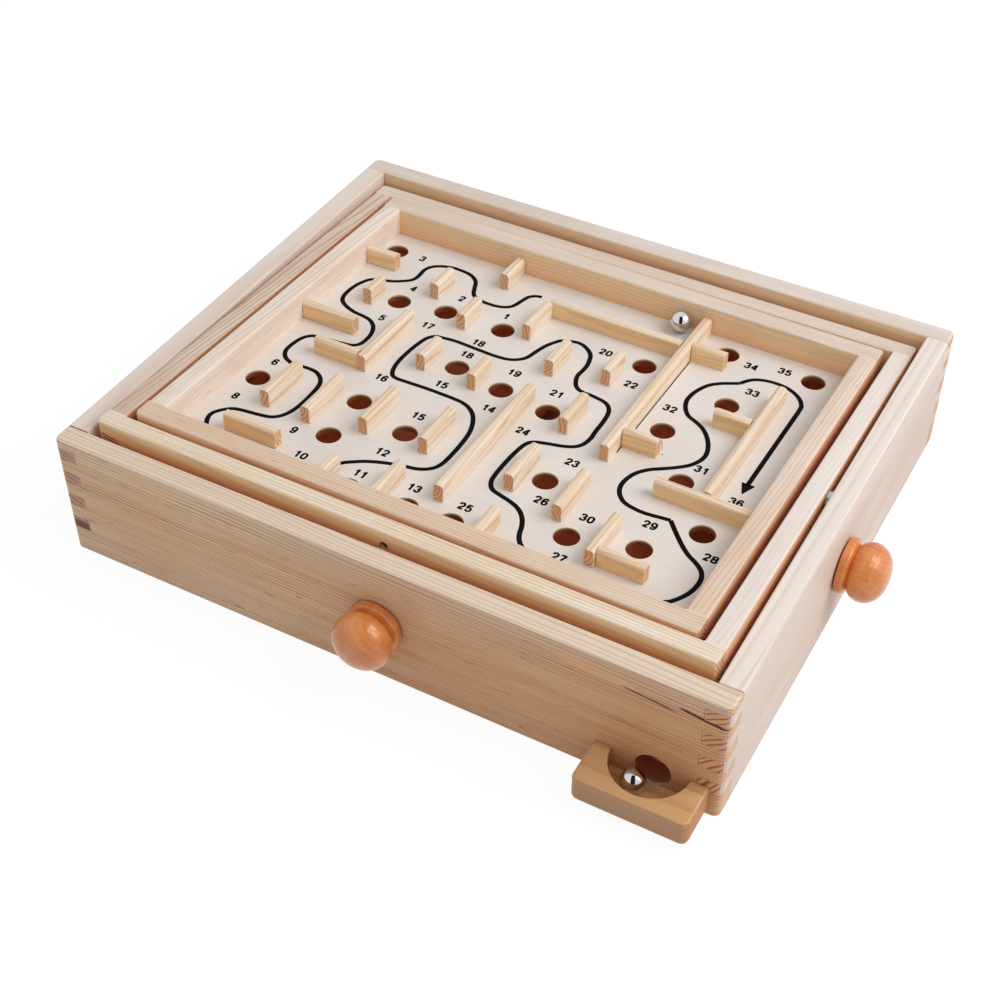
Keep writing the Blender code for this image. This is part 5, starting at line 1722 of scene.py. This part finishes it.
@dataclass
class Studio:
    """The photo's camera, a pale floor and soft light."""

    lens: float = 60.335
    camera_place: Sequence[float] = (0.25083, -0.48490, 0.50300)
    camera_forward: Sequence[float] = (-0.35464, 0.64775, -0.67427)
    camera_up: Sequence[float] = (-0.3269, 0.5897, 0.7385)
    sky: float = 0.5
    key: float = 16.0
    floor_glow: float = 1.08
    floor_share: float = 0.86
    lamp_place: Sequence[float] = (1.1, 0.35, 1.25)
    lamp_size: float = 1.1
    card_place: Sequence[float] = (0.40, -1.0, 0.95)
    card_size: Point = (0.95, 3.2)

    def place_camera(self) -> None:
        """Put the camera where the photo was taken."""
        forward = Vector(self.camera_forward).normalized()
        right = forward.cross(Vector(self.camera_up)).normalized()
        up = right.cross(forward)
        turn = Matrix((right, up, -forward)).transposed()
        data = bpy.data.cameras.new("photo_camera")
        data.lens = self.lens
        data.sensor_width = 36.0
        data.clip_start = 0.01
        camera = bpy.data.objects.new("photo_camera", data)
        camera.matrix_world = Matrix.Translation(self.camera_place) @ turn.to_4x4()
        bpy.context.scene.collection.objects.link(camera)
        bpy.context.scene.camera = camera

    def add_lamp(self, name: str, place: Sequence[float], size: float, watts: float,
                 colour: Colour = Colour(255, 255, 255)) -> None:
        """Add one soft square lamp that faces the maze.

        Args:
            name: The lamp's name.
            place: Where it hangs.
            size: The square's side.
            watts: Its power.
            colour: Its colour.
        """
        data = bpy.data.lights.new(name, "AREA")
        data.size = size
        data.energy = watts
        data.color = colour.linear()[:3]
        lamp = bpy.data.objects.new(name, data)
        lamp.location = place
        lamp.rotation_euler = (-Vector(place)).to_track_quat("-Z", "Y").to_euler()
        bpy.context.scene.collection.objects.link(lamp)

    def lay_floor(self) -> None:
        """A wide pale floor that stays near white and keeps the shadow."""
        shape = bmesh.new()
        bmesh.ops.create_grid(shape, x_segments=2, y_segments=2, size=6.0)
        sheet = Sheet("pale_floor")
        grain = sheet.noise(sheet.stretch(sheet.place(), (30, 30, 30)), 2.0)
        diffuse = sheet.node("ShaderNodeBsdfDiffuse", {}, {
            "Color": sheet.tint(grain, Colour(226, 225, 224), Colour(230, 229, 228))})
        glow = sheet.node("ShaderNodeEmission", {}, {
            "Color": (1, 1, 1, 1), "Strength": self.floor_glow})
        path = sheet.node("ShaderNodeLightPath", {}, {}, "Is Camera Ray")
        mirror = Signal(sheet, path.socket.node.outputs["Is Glossy Ray"])
        shader = sheet.node("ShaderNodeMixShader", {}, {
            0: path.highest(mirror) * self.floor_share, 1: diffuse, 2: glow})
        sheet.close(shader)
        floor = put_mesh("studio_floor", shape, sheet.material, smooth=False)
        floor.location.z = -0.0003

    def hang_card(self, name: str, place: Sequence[float], size: Point) -> None:
        """Hang a dark card that only shows in polished metal.

        Args:
            name: The card's name.
            place: Where its middle hangs. It faces the maze.
            size: Its width and height.
        """
        shape = bmesh.new()
        bmesh.ops.create_grid(shape, x_segments=1, y_segments=1, size=0.5)
        sheet = Sheet(name)
        grain = sheet.noise(sheet.place(), 1.0)
        card = put_mesh(name, shape, sheet.surface(
            Base_Color=sheet.tint(grain, Colour(20, 18, 18), Colour(30, 27, 26)),
            Roughness=0.9), smooth=False)
        card.scale = (size[0], size[1], 1.0)
        card.location = place
        card.rotation_euler = (-Vector(place)).to_track_quat("Z", "Y").to_euler()
        card.visible_camera = card.visible_diffuse = False
        card.visible_shadow = card.visible_transmission = False

    def light_world(self) -> None:
        """Even pale surroundings, white where the camera or a mirror sees them."""
        world = bpy.data.worlds.new("studio_world")
        world.use_nodes = True
        tree = world.node_tree
        background = tree.nodes["Background"]
        background.inputs["Color"].default_value = (1, 1, 1, 1)
        path = tree.nodes.new("ShaderNodeLightPath")
        clear = path.outputs["Is Camera Ray"]
        for other in ("Is Glossy Ray", "Is Transmission Ray"):
            both = tree.nodes.new("ShaderNodeMath")
            both.operation = "MAXIMUM"
            tree.links.new(clear, both.inputs[0])
            tree.links.new(path.outputs[other], both.inputs[1])
            clear = both.outputs[0]
        level = tree.nodes.new("ShaderNodeMapRange")
        level.inputs["To Min"].default_value = self.sky
        level.inputs["To Max"].default_value = 1.0
        tree.links.new(clear, level.inputs["Value"])
        tree.links.new(level.outputs[0], background.inputs["Strength"])
        bpy.context.scene.world = world

    def build(self) -> None:
        """Set up camera, floor and light."""
        self.place_camera()
        self.lay_floor()
        self.light_world()
        self.add_lamp("key_lamp", self.lamp_place, self.lamp_size, self.key,
                      Colour(255, 252, 250))
        self.hang_card("dark_card", self.card_place, self.card_size)
        bpy.context.scene.view_settings.view_transform = "Standard"


def main() -> None:
    """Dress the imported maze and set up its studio."""
    logging.basicConfig(level=logging.INFO, format="%(name)s: %(message)s")
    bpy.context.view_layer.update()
    for part in (Studio(), *build_cords(), Box(), *build_rail_frames(), Maze(), Print(), Knobs(),
                 Balls()):
        part.build()
        log.info("%s is done", type(part).__name__)


if __name__ == "__main__":
    main()
